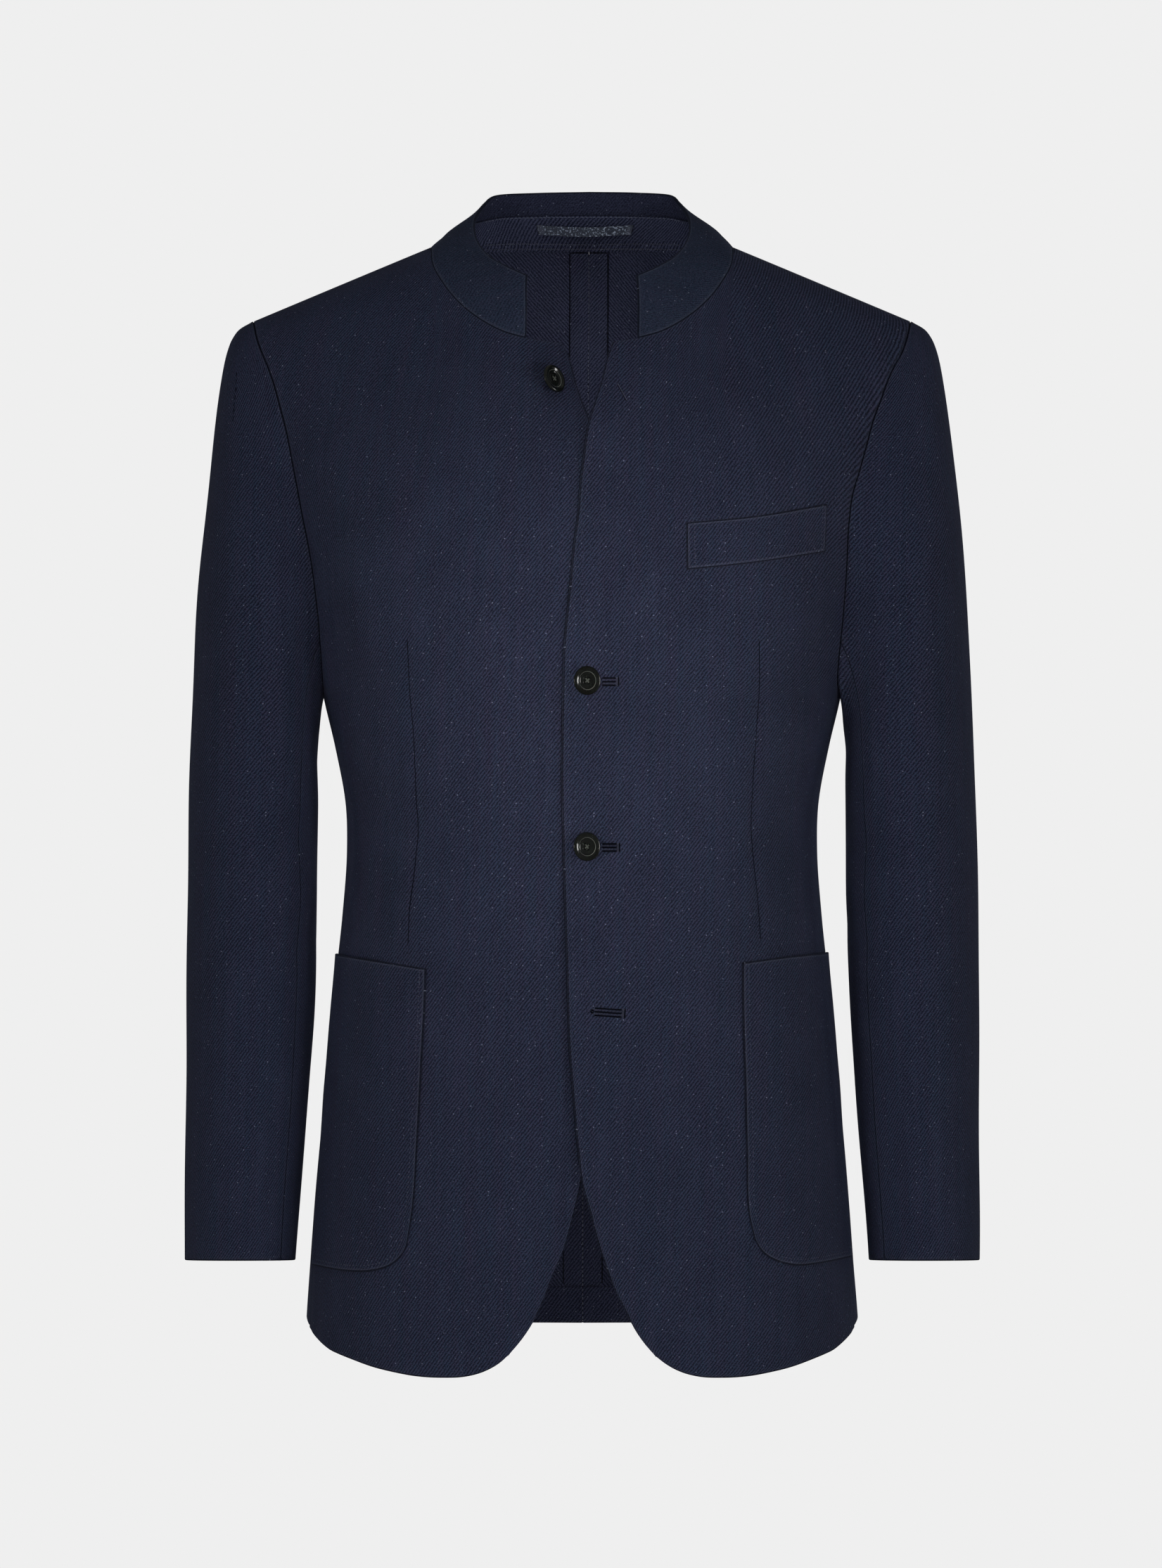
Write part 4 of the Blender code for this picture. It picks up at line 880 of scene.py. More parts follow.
# %% Thread, tape and horn
GLINT_GAIN, GLINT_LEVEL = 9.0, -4.9
THREAD_GRAIN = 2500.0
# Radius and width of the rings of painted highlight on a button's face, and their colour.
HIGHLIGHT_RINGS, HORN_HIGHLIGHT = ((6.35, 0.17), (9.2, 0.2)), (0.075, 0.080, 0.072)


def plain_finish(name, base, roughness, specular=0.5, coat=0.0, sheen=0.0, grain=0.25, scale=THREAD_GRAIN,
                 glint=None):
    """A finish for small parts: noise on Object coordinates varies its tone and roughness and gives it
    a faint relief. Where the noise is highest a glint colour may shine through."""
    material, tree, shader = new_material(name)
    grainy = noise(tree, wire(tree, "ShaderNodeTexCoord").outputs["Object"], scale, 2.0)
    colour = blend(tree, grainy, *(tuple(c * share for c in base) for share in (1 - grain, 1 + grain)))
    if glint:
        colour = blend(tree, line_of(tree, grainy, GLINT_GAIN, GLINT_LEVEL, clamp=True), colour, glint)
    tree.links.new(colour, shader.inputs["Base Color"])
    tree.links.new(line_of(tree, grainy, 0.1, roughness - 0.05), shader.inputs["Roughness"])
    bump = wire(tree, "ShaderNodeBump", Strength=0.15, Distance=0.0001, Height=grainy)
    tree.links.new(bump.outputs[0], shader.inputs["Normal"])
    set_inputs(shader, Specular_IOR_Level=specular, Coat_Weight=coat, Coat_Roughness=0.04, Sheen_Weight=sheen)
    return material


thread = plain_finish("sewing_thread", (0.030, 0.035, 0.062), 0.6, 0.3, sheen=0.2)
pale_thread = plain_finish("pale_sewing_thread", (0.060, 0.070, 0.108), 0.55, 0.3, sheen=0.2)
# Thin dark tubes in this finish are painted shade in seams, slits and dents; it also colours the tacking
# thread on the sleeve head.
shade_and_tacking_thread = plain_finish("painted_shade_and_tacking_thread", (0.0022, 0.0027, 0.0055), 0.8, 0.1)
hole_thread = plain_finish("buttonhole_thread", (0.014, 0.0165, 0.031), 0.6, 0.3, sheen=0.1)
button_thread = plain_finish("button_thread", (0.080, 0.088, 0.076), 0.5, 0.4)
horn = plain_finish("polished_dark_horn", (0.0045, 0.0055, 0.0045), 0.16, coat=0.6, grain=0.6, scale=260.0)
loop_tape = plain_finish("loop_tape_weave", (0.022, 0.028, 0.046), 0.42, 0.4, sheen=0.1, grain=0.4,
                         scale=800.0, glint=(0.30, 0.35, 0.44))


def paint_highlight_rings(material):
    """Paler rings of painted highlight on the button's rim and on the edge of its dish."""
    tree = material.node_tree
    base = tree.nodes["Principled BSDF"].inputs["Base Color"]
    radius_mm = wire(tree, "ShaderNodeAttribute", dict(attribute_name="radius_mm")).outputs["Fac"]
    polished = calc(tree, "MAXIMUM", *(calc(tree, "COMPARE", radius_mm, *ring) for ring in HIGHLIGHT_RINGS))
    tree.links.new(blend(tree, polished, base.links[0].from_socket, HORN_HIGHLIGHT), base)


paint_highlight_rings(horn)
small_finishes = (thread, pale_thread, shade_and_tacking_thread, hole_thread, button_thread, horn, loop_tape)
print("small finishes:", [m.name for m in small_finishes])

# %% [markdown]
# ## The body
# Fronts and backs are four panels. The cloth's height above the form is one function of where it is,
# so that pockets, darts and buttonholes can ask for it too and lie on the cloth, folds and all. Near
# a seam the folds fade out, because both pieces have to meet there, and a slight swell stands beside
# the stitching, as pressed seams show.

# %% Height of the body cloth
DARTS = {-1: np.array([(121.8, -274.9), (119.8, -315.6), (116.9, -351.3), (115.4, -387.1), (114.6, -409.6),
                       (115.9, -422.9), (116.9, -435.6), (120.2, -463.1), (121.8, -487.6)]),
         1: np.array([(123.2, -274.9), (123.2, -309.2), (121.3, -341.5), (118.8, -373.9), (117.8, -406.2),
                      (119.3, -430.7), (121.8, -455.2), (124.6, -484.6)])}
ARM_PLACES = {side: armhole(False, side) for side in (1, -1)}
NECK_RING = {side: np.concatenate([form(locate(front_neck(np.linspace(0, 1, 24))), side),
                                   torso(locate(back_neck(side, np.linspace(0, 1, 16)), True), side)])
             for _, side, form in SIDES}
DART_DEPTH, DART_WIDTH, DART_SWELL, SWELL_AT, SWELL_WIDTH = 0.55, 2.2, 0.35, 6, 5
SIDE_FADE, NECK_FADE, SPINE_FADE, SHOULDER_FADE = 26, 20, 14, 9
SEAM_SWELL, SEAM_RISE, SEAM_FALL = 0.5, 3, 12
MM_A_DEGREE = 2.4                              # about one degree round the section
RIM_FADE = 10                                  # how far from the armhole the walls turn to face the sleeve


def varied(table, amount=0.3, shift=5.0):
    """A copy of a fold table, each fold a little moved and made stronger or weaker."""
    table = table.copy()
    table[:, 5] *= rng.uniform(1 - amount, 1 + amount, len(table))
    table[:, :4] += rng.uniform(-shift, shift, (len(table), 4))
    return table


BODY_FOLDS = {(behind, side): varied(BACK_FOLDS if behind else FRONT_FOLDS)
              for behind in (False, True) for side in (1, -1)}


def dart_groove(flat, line):
    """-0.55 exp(-(d / 2.2)^2) + 0.35 exp(-((d - 6) / 5)^2), with d the distance to the nearest stretch of
    the dart: a groove with a swell on either side."""
    distance = to_lines(flat, line[:-1], np.diff(line, axis=0))[1].min(-1)
    groove = -DART_DEPTH * np.exp(-(distance / DART_WIDTH) ** 2)
    return groove + DART_SWELL * np.exp(-((distance - SWELL_AT) / SWELL_WIDTH) ** 2)


def body_height(places, form, side, behind):
    """Folds + unevenness + dart groove, times a fade at each seam, plus a swell beside it."""
    points = form(places, side)
    flat = np.stack([side * points[..., 0], points[..., 2]], axis=-1)
    height = folds(flat, BODY_FOLDS[behind, side]) + uneven(points)
    if not behind:
        height = height + dart_groove(flat, DARTS[side])
    angle = 180 - places[..., 0] if behind else places[..., 0]
    level = places[..., 1]
    low_seam = smooth(SIDE_SEAM, np.minimum(level, 0))[..., 0]
    hole = ARM_PLACES[1 if behind else side]
    low_angle = 180 - low_seam if behind else low_seam
    seam = np.where(level <= 0, low_angle, np.interp(level, hole[:, 1], hole[:, 0]))
    to_side = np.clip(MM_A_DEGREE * (seam - angle), 0, None)
    to_neck = np.linalg.norm(points[..., None, :] - NECK_RING[side], axis=-1).min(-1)
    to_spine = np.abs(points[..., 0] - spine_x(points[..., 2])) if behind else 1e3 + 0 * to_side
    for distance, reach in ((to_side, SIDE_FADE), (to_neck, NECK_FADE), (to_spine, SPINE_FADE)):
        swell = SEAM_SWELL * (1 - np.exp(-(distance / SEAM_RISE) ** 2)) * np.exp(-distance / SEAM_FALL)
        height = height * smoothstep(distance / reach) + swell
    return height * smoothstep((TOP_LEVEL - level) / SHOULDER_FADE)


def lie(places, form, side, behind=False, off=0.0):
    """Points on the cloth at the given places, lifted off it by off, and the form's normals there."""
    out = normals_of(form, places, side)
    height = body_height(places, form, side, behind)[..., None]
    return form(places, side) + (height + off) * out, out


def armhole_rim(behind):
    """Unit directions from the armhole's edge to the middle of the hole, row by row, along which body
    and sleeve walls both end, so that they meet face to face."""
    turn = math.pi * (1 - UPPER / UPPER_ROWS)
    return np.stack([0 * turn, np.sin(turn) * (-1 if behind else 1), -np.cos(turn)], axis=-1)


def round_armhole(edge, closed=False):
    """What edge gives for the front, down to the armpit, and then for the back, up to the shoulder."""
    return np.concatenate([edge(False)[::-1], edge(True)[1:None if closed else -1]])


def body_panel(name, places, form, side, behind, rolls):
    """A front or back. Its wall runs straight in, but turns beside the armhole to face the sleeve's."""
    outer, out = lie(places, form, side, behind)
    uv = rows_of_cloth(form(places, side), side, behind)
    through, top = -out, slice(-len(UPPER), None)
    near = smoothstep(1 - edge_distance(outer)[3] / RIM_FADE)[top, :, None]
    through[top] = unit((1 - near) * through[top] + near * armhole_rim(behind)[:, None])
    cloth_shell(name, outer, outer + BODY_CLOTH * through, rolls, uv, wool_twill, "wool_twill")


FREE, SEWN = 1.0, 0.35
for word, side, form in SIDES:
    body_panel(f"front_{word}", FRONTS[side], form, side, False, (FREE, SEWN, FREE, SEWN))
for word, side, _ in SIDES:
    body_panel(f"back_{word}", back_places(side), torso, side, True, (FREE, SEWN, SEWN, SEWN))

# %% [markdown]
# ## Sleeves
# A tailored sleeve is a top and an under piece, set into the armhole with a little fullness at the
# head and pitched forwards below the elbow. Every ring is an oval across a line from inner to outer
# edge. The first rings are drawn to the armhole's own line, so the two seams match point for point.

# %% Sleeve tables and grid
SLEEVE = np.array([                             # inner_x, inner_z, outer_x, outer_z, half_depth, centre_y
    (180.2, -315.4, 229.0, -53.9, 55.0, 0.0), (181.0, -321.0, 240.8, -63.2, 57.0, 0.0),
    (181.6, -328.0, 246.9, -74.0, 59.0, 0.0), (182.1, -337.0, 251.9, -98.5, 62.0, 0.0),
    (182.5, -347.0, 258.3, -142.6, 65.5, 0.5), (182.8, -359.0, 263.9, -195.0, 68.5, 1.0),
    (183.1, -373.0, 268.7, -255.0, 70.0, 2.0), (183.4, -392.0, 272.1, -325.0, 69.0, 3.0),
    (183.8, -421.0, 274.4, -390.0, 66.0, 2.5), (184.3, -464.0, 275.6, -456.0, 62.5, 0.5),
    (186.4, -525.0, 276.2, -523.0, 58.5, -4.0), (190.4, -583.0, 276.5, -583.0, 54.5, -9.5),
    (194.8, -642.0, 276.7, -642.0, 50.5, -15.5), (198.9, -706.9, 276.8, -706.9, 46.7, -22.0)])
SLEEVE_POWER, CAP_BLEND = 2.15, 5.0             # shape of the oval, rings over which the head blends
SLEEVE_RINGS, RING_STEPS = 22, 6
FOREARM_SEAM, HINDARM_SEAM = 3 * FINE, 5 * FINE   # columns from the armpit's to each seam
HEAD_FULLNESS, FULLNESS_AT, FULLNESS_WIDTH, HEAD_FADE = 1.3, 11, 8, 30
SLEEVE_SETBACK, HEAD_RIM_FADE = 0.4, 8
MEAN_OVAL = (46.0, 62.0)                        # half axes of the oval that the UV map is measured on
SLEEVE_MIDDLE = np.array([                      # z, x and y of the sleeve's middle line
    (-707, 237.9, -22.0), (-583, 233.5, -9.5), (-457, 230.0, 0.5), (-300, 226.0, 2.5),
    (-150, 226.0, 0.5), (-60, 232.0, 0.0)])


def sleeve_grid(side):
    """Rings from armhole to cuff: centre + half the line's length * cos(turn)^(2/p) along it, and depth
    * sin(turn)^(2/p) across, plus what the first rings fade from the armhole's own line."""
    rings = np.linspace(0, len(SLEEVE) - 1, SLEEVE_RINGS * RING_STEPS + 1)
    numbered = np.column_stack([np.arange(len(SLEEVE)), SLEEVE])
    inner_x, inner_z, outer_x, outer_z, depth, centre_y = smooth(numbered, rings).T[..., None]
    turn = np.linspace(0, 2 * math.pi, 2 * UPPER_ROWS * FINE + 1)[None, :-1]
    reach, sway = (signed_power(wave(turn), 2 / SLEEVE_POWER) for wave in (np.cos, np.sin))
    oval = np.stack([(outer_x + inner_x) / 2 + (outer_x - inner_x) / 2 * reach, centre_y - depth * sway,
                     (outer_z + inner_z) / 2 + (outer_z - inner_z) / 2 * reach], axis=-1)
    hole = round_armhole(lambda behind: torso(armhole(behind, side), 1)) + (SLEEVE_SETBACK, 0, 0)
    fade = smoothstep(1 - rings / CAP_BLEND)[:, None, None]
    return (oval + fade * (hole - oval[0])) * (side, 1, 1), np.degrees(turn)


def dressed_sleeve(side):
    """The sleeve grid with its head's fullness, its folds and its unevenness, and its normals."""
    grid, turn = sleeve_grid(side)
    round_it = np.roll(grid, -1, axis=1) - np.roll(grid, 1, axis=1)
    out = unit(side * np.cross(round_it, np.gradient(grid, axis=0)))
    table = varied(SLEEVE_FOLDS, 0.35, 6.0)
    down = np.concatenate([[0 * turn[0]], np.cumsum(np.linalg.norm(np.diff(grid, axis=0), axis=-1), axis=0)])
    flat = np.stack([np.broadcast_to(turn, grid.shape[:2]), grid[..., 2]], axis=-1)
    height = folds(flat, table) + folds(flat - (360, 0), table) + uneven(grid)
    swell = np.exp(-((down - FULLNESS_AT) / FULLNESS_WIDTH) ** 2)
    fullness = HEAD_FULLNESS * np.clip(np.cos(np.radians(turn)), 0, 1) * swell
    height = height * smoothstep(down / HEAD_FADE) + fullness
    return grid + height[..., None] * out, out, down


def sleeve_cloth(points, side):
    """UV in millimetres: up is the height, and across is the length along a mean oval up to the point's
    direction from the sleeve's middle line at that height."""
    x, y = (np.interp(points[..., 2], SLEEVE_MIDDLE[:, 0], SLEEVE_MIDDLE[:, k]) for k in (1, 2))
    across, forward = (points[..., 0] - side * x) / MEAN_OVAL[0], (y - points[..., 1]) / MEAN_OVAL[1]
    turn = np.unwrap(np.arctan2(across, forward), axis=1)
    middle = turn[:, turn.shape[1] // 2]
    turn += (np.unwrap(middle) - middle)[:, None]
    fine = np.linspace(-5 * math.pi, 5 * math.pi, 3601)
    walk = walked(np.column_stack([MEAN_OVAL[0] * np.sin(fine), MEAN_OVAL[1] * np.cos(fine)]))
    return np.stack([np.interp(turn, fine, walk - walk[len(fine) // 2]), points[..., 2]], axis=-1)


def make_sleeve(word, side):
    """Cuts a dressed sleeve into its under and top pieces at the forearm and hindarm seams."""
    outer, out, down = dressed_sleeve(side)
    around = outer.shape[1]
    near = smoothstep(1 - down / HEAD_RIM_FADE)[..., None]
    inner = outer + SLEEVE_CLOTH * unit(near * round_armhole(armhole_rim) - (1 - near) * out)
    armpit = UPPER_ROWS * FINE
    forearm, hindarm = armpit - FOREARM_SEAM, armpit + HINDARM_SEAM
    for piece, first, last in (("under", forearm, hindarm), ("top", hindarm, around + forearm)):
        columns = np.arange(first, last + 1) % around
        uv = sleeve_cloth(outer[:, columns], side)
        cloth_shell(f"sleeve_{word}_{piece}", outer[:, columns], inner[:, columns],
                    (SEWN, FREE, SEWN, SEWN), uv, wool_twill, "wool_twill")
    return outer, out


SLEEVES = {side: make_sleeve(word, side) for word, side, _ in SIDES}

# %% [markdown]
# ## Pockets and welt
# Patch pockets and the breast welt are cloth laid on cloth. Each is cut as its own patch of the same
# form, thinner than the front, with fully rolled edges, and its mouth stands off a little so that a
# shadow line shows where a hand goes in.

# %% Laid pieces
WELT = dict(bottom=((72.4, -226.9), (120.0, -221.8), (169.4, -214.1)),
            top=((72.1, -193.6), (120.0, -189.0), (170.2, -180.3)))
POCKETS = {
    1: dict(
        top=((110.7, -499.2), (140.0, -495.3), (170.5, -492.4)),
        inner=((119.3, -691.9), (115.9, -678.0), (113.4, -627.7), (112.0, -570.0), (111.0, -530.0),
               (110.7, -499.2)),
        bottom=((119.3, -691.9), (125.2, -701.2), (135.0, -707.3), (146.8, -710.0), (165.0, -708.6),
                (186.2, -704.6))),
    -1: dict(
        top=((107.8, -503.4), (140.0, -498.2), (170.5, -493.4)),
        inner=((121.0, -696.0), (117.4, -674.7), (113.4, -617.0), (110.7, -570.0), (108.3, -526.0),
               (107.8, -503.4)),
        bottom=((121.0, -696.0), (125.2, -703.6), (133.5, -710.5), (145.3, -713.9), (165.0, -713.9),
                (186.2, -710.5)))}
POCKET_CLOTH, POCKET_LIFT = 1.5, 0.1
MOUTH_GAPE, MOUTH_DEPTH, POCKET_FILL = 1.5, 0.07, 0.35
SHORT_OF_SEAM = 0.5                            # degrees between a pocket's side and the side seam


def ends_close(count):
    """Even shares from 0 to 1 with extra ones near both ends."""
    extra = np.array([0.12, 0.3]) / count
    return np.sort(np.concatenate([np.linspace(0, 1, count + 1), extra, 1 - extra]))


def pocket_places(shape):
    """A patch between a pocket's mouth, inner edge, rounded bottom and the side seam."""
    share, u, v = np.linspace(0, 1, LINE_POINTS), ends_close(56), ends_close(90)
    top, bottom = locate(along(shape["top"], share)), locate(along(shape["bottom"], share))
    for edge in (top, bottom):
        edge[-1, 0] = smooth(SIDE_SEAM, edge[-1, 1])[0] - SHORT_OF_SEAM
    top, bottom = evenly(top, u), evenly(bottom, u)
    outer = side_seam(bottom[-1, 1] + (top[-1, 1] - bottom[-1, 1]) * v) - (SHORT_OF_SEAM, 0.0)
    return coons(bottom, top, locate(along(shape["inner"], v)), outer, u, v)


def welt_places():
    """A patch between the welt's bottom and top edges."""
    u, v = ends_close(60), ends_close(24)
    bottom, top = locate(along(WELT["bottom"], u)), locate(along(WELT["top"], u))
    left, right = (bottom[k] + (top[k] - bottom[k]) * v[:, None] for k in (0, -1))
    return coons(bottom, top, left, right, u, v)


def laid_piece(name, places, form, side, lift, rolls):
    """A shell whose inner face lies lift above the cloth."""
    inner, out = lie(places, form, side)
    inner = inner + lift[..., None] * out
    uv = rows_of_cloth(form(places, side), side)
    cloth_shell(name, inner + POCKET_CLOTH * out, inner, rolls, uv, laid_wool, "wool_twill")


def gape(shape):
    """How far a pocket stands off the front: most at its mouth, and a little over its middle."""
    v, u = np.linspace(0, 1, shape[0])[:, None], np.linspace(0, 1, shape[1])[None]
    mouth = MOUTH_GAPE * np.exp(-((1 - v) / MOUTH_DEPTH) ** 2) * np.sin(math.pi * np.clip(u * 1.05, 0, 1))
    return POCKET_LIFT + mouth + POCKET_FILL * smoothstep(v * 12) * np.sin(math.pi * u)


for word, side, form in SIDES:
    places = pocket_places(POCKETS[side])
    laid_piece(f"pocket_{word}", places, form, side, gape(places.shape), (0.7, 0.8, 0.7, 0.4))
places = welt_places()
flat_lift = np.full(places.shape[:2], POCKET_LIFT)
laid_piece("breast_welt", places, torso, 1, flat_lift, (0.5, 0.8, 0.6, 0.6))

# %% [markdown]
# ## The back's inside
# Through the neck and under the hem the wrong side of the back shows, with its centre seam pressed
# open into two strips and the hem turned up. They are their own shells, just inside the panels, with
# the weave's other diagonal, because turned cloth shows its right side.

# %% Seam strips and turned-up hem
SEAM_ALLOWANCE, BACK_TURN_UP = 13.3, 25.5
UNDER_GAP, STRIP_CURL, HEM_CURL = 0.15, 0.7, 0.5   # the gap under a panel, and how far free edges curl off


def strip_places(side):
    """A strip beside the centre back seam, from the turned-up hem to the neck."""
    low, high = BACK_HEM_Z + BACK_TURN_UP + 0.5, BACK_NECK_Z - 0.8
    rise = low + (high - low) * np.linspace(0, 1, LINE_POINTS)
    across, up = np.meshgrid(SEAM_ALLOWANCE * ends_close(8), rise)
    return locate_at(side * spine_x(up) + across, up, True)


def turn_up_places(side):
    """The back's lowest row, repeated up to the turned-up hem's edge."""
    rise = BACK_TURN_UP * ends_close(12)
    grid = np.repeat(back_places(side)[:1], len(rise), axis=0)
    grid[..., 1] += rise[:, None]
    return grid


def inside_piece(name, places, side, lifted, rolls):
    """A shell just under the panel's inner face. Its UV is turned over, as turned-up cloth is."""
    outer, out = lie(places, torso, side, True, -BODY_CLOTH - UNDER_GAP)
    inner = outer - (TRIM_CLOTH + lifted[..., None]) * out
    uv = rows_of_cloth(torso(places, side), side, True) * (-1, 1)
    cloth_shell(name, outer - lifted[..., None] * out, inner, rolls, uv, wool_inside, "wool_twill")


for word, side, _ in SIDES:
    places = strip_places(side)
    curl = STRIP_CURL * np.broadcast_to(np.linspace(0, 1, places.shape[1]), places.shape[:2]) ** 3
    inside_piece(f"back_seam_{word}", places, side, curl, (0.4, 0.4, 0.3, 0.5))
    places = turn_up_places(side)
    curl = HEM_CURL * np.broadcast_to(np.linspace(0, 1, len(places))[:, None], places.shape[:2]) ** 3
    inside_piece(f"back_hem_{word}", places, side, curl, (0.5, 0.5, 0.3, 0.3))

# %% [markdown]
# ## Collar, neck band and hanger loop
# The stand collar rises from the neck seam to its own edge, straight but for a slight swell. Inside,
# a facing band runs round the back of the neck, and a narrow tape loop is tacked to it. All of them
# share one grid, so they follow each other exactly.

# %% Collar and what lies in it
COLLAR_TOP = np.array([                         # share from the front end to the centre back, x, y, z
    (0.00, 38.0, -62.0, -21.0), (0.12, 51.0, -55.5, -15.0), (0.27, 65.0, -40.0, -6.5),
    (0.38, 72.0, -24.0, 3.0), (0.50, 74.6, -4.0, 15.0), (0.60, 72.5, 13.0, 23.5),
    (0.70, 68.0, 27.0, 31.0), (0.79, 61.0, 36.0, 36.0), (0.89, 35.0, 43.0, 37.7), (1.00, 0.0, 45.0, 38.3)])
COLLAR_BULGE = np.array([(0.0, 2.2), (0.3, 2.4), (0.5, 3.6), (0.62, 4.6), (0.78, 4.2), (1.0, 2.2)])
COLLAR_FOLDS = np.array([                       # x0, z0, x1, z1, width, height
    (-84, 10, -79, -10, 2.6, 0.7), (-90, 4, -86, -16, 3.0, -0.6), (48, -15, 78, -36, 4.5, -0.9),
    (44, -24, 70, -44, 5.0, 0.6), (-60, -20, -70, -44, 5.0, -0.6)], float)
COLLAR_STEPS = 12                              # fine steps in each of the solid collar's columns
COLLAR_SHARES, COLLAR_HEIGHT = ends_close(40), 40  # the rows' shares of the height, and the height in mm
COLLAR_UNEVEN, FOLD_FADE, NORMAL_FADE = 0.3, 12, 6
BAND_HEIGHT, BAND_REACH, BAND_RIPPLE, RIPPLE_LENGTH = 0.6, 0.46, 0.25, 9
LOOP_WIDTH, LOOP_LENGTH, LOOP_BOW, LOOP_SAG, LOOP_CLOTH = 7.0, 62.0, 2.6, 0.03, 0.7
LOOP_X, LOOP_HEIGHT, LOOP_GAP = 2.3, 0.33, 0.45


def grid_normals(grid):
    """Unit normals of a grid, from the steps to its neighbours."""
    return unit(np.cross(np.gradient(grid, axis=0), np.gradient(grid, axis=1)))


def collar_half(side, form):
    """Base, top edge, the body's normals along the base and the swell, from front end to centre back."""
    shares = np.linspace(0, 1, NECK_COLUMNS * COLLAR_STEPS + 1)
    first = np.sort(np.concatenate([shares, [0.003, 0.007]]))
    front, back = locate(front_neck(first)), locate(back_neck(side, shares), True)[1:]
    base = np.concatenate([form(front, side), torso(back, side)])
    body_out = np.concatenate([normals_of(form, front, side), normals_of(torso, back, side)])
    share = walked(base) / walked(base)[-1]
    top = smooth(COLLAR_TOP, share) * (side, 1, 1)
    top[:, 0] += base[-1, 0] * smoothstep((share - 0.7) / 0.3)
    return base, top, body_out, smooth(COLLAR_BULGE, share)


def collar_grid():
    """Rows from the seam up: base + (top - base) * v + bulge * sin(pi v) along the normal. Near the
    seam the normals turn into the body's own."""
    right, left = collar_half(-1, lapped_torso), collar_half(1, torso)
    base, top, body_out, bulge = (np.concatenate([r, l[-2::-1]]) for r, l in zip(right, left))
    v = COLLAR_SHARES[:, None, None]
    flat = base + (top - base) * v
    grid = flat + bulge * np.sin(math.pi * v) * grid_normals(flat)
    from_seam = edge_distance(grid)[0]
    near = smoothstep(1 - from_seam / NORMAL_FADE)[..., None]
    out = unit((1 - near) * grid_normals(grid) + near * body_out)
    height = uneven(grid, COLLAR_UNEVEN) + folds(grid[..., (0, 2)], COLLAR_FOLDS)
    height = height * smoothstep(from_seam / FOLD_FADE)
    return grid + height[..., None] * out, out


grid, out = collar_grid()
seam_walk = edge_distance(grid)
uv = np.stack([seam_walk[2] - seam_walk[2][:, -1:] / 2, seam_walk[0]], axis=-1)
rolls = (SEWN, FREE, FREE, FREE)
cloth_shell("collar", grid, grid - COLLAR_CLOTH * out, rolls, uv, collar_wool, "collar_wool")


def on_grid(values, row, column):
    """Values between a grid's own, by straight lines, at fractional rows and columns."""
    r = np.clip(np.floor(row).astype(int), 0, values.shape[0] - 2)
    c = np.clip(np.floor(column).astype(int), 0, values.shape[1] - 2)
    a, b = (row - r)[..., None], (column - c)[..., None]
    return ((1 - a) * (1 - b) * values[r, c] + (1 - a) * b * values[r, c + 1]
            + a * (1 - b) * values[r + 1, c] + a * b * values[r + 1, c + 1])


def inside_collar(height, across, depth):
    """Points inside the collar at a share of its height, at millimetres from the centre back along
    the seam, and at a depth below its outer face."""
    rows = np.interp(height, COLLAR_SHARES, np.arange(grid.shape[0]))
    walk = seam_walk[2][0]
    columns = np.interp(walk[-1] / 2 + across, walk, np.arange(len(walk)))
    return on_grid(grid, rows, columns) - np.asarray(depth)[..., None] * unit(on_grid(out, rows, columns))


reach = seam_walk[2][0, -1] / 2 * (1 - BAND_REACH)
height, across = np.meshgrid(BAND_HEIGHT * ends_close(24), np.linspace(-reach, reach, 181), indexing="ij")
near = COLLAR_CLOTH + UNDER_GAP
outer = inside_collar(height, across, np.full(height.shape, near))
ripple = BAND_RIPPLE * np.sin(across / RIPPLE_LENGTH) * height
inner = inside_collar(height, across, near + TRIM_CLOTH + ripple)
uv = np.stack([across, height * COLLAR_HEIGHT], axis=-1)
cloth_shell("neck_band", outer, inner, (0.5, 0.5, 0.5, 0.5), uv, wool_inside, "wool_twill")

edge_rows = LOOP_HEIGHT + LOOP_WIDTH / COLLAR_HEIGHT * np.linspace(-0.5, 0.5, 9)
height, along_tape = np.meshgrid(edge_rows, np.linspace(-0.5, 0.5, 61), indexing="ij")
height = height - LOOP_SAG * np.cos(math.pi * along_tape)
arch = np.sqrt(np.cos(math.pi * np.clip(along_tape, -0.499, 0.499)))
bow = near + TRIM_CLOTH + LOOP_GAP + LOOP_BOW * arch
where = LOOP_X + LOOP_LENGTH * along_tape
outer, inner = (inside_collar(height, where, bow + cloth) for cloth in (0, LOOP_CLOTH))
uv = np.stack([where, height * COLLAR_HEIGHT], axis=-1)
cloth_shell("hanger_loop", outer, inner, (0.3, 0.3, 0.3, 0.3), uv, loop_tape, "loop_tape")

# %% [markdown]
# ## Buttons
# Each button is turned: one profile of radius and height goes round an axis, with a dished middle, a
# raised rim and a rounded edge. Four holes are pressed into the face as deep, narrow bells, and the
# thread crosses between them.

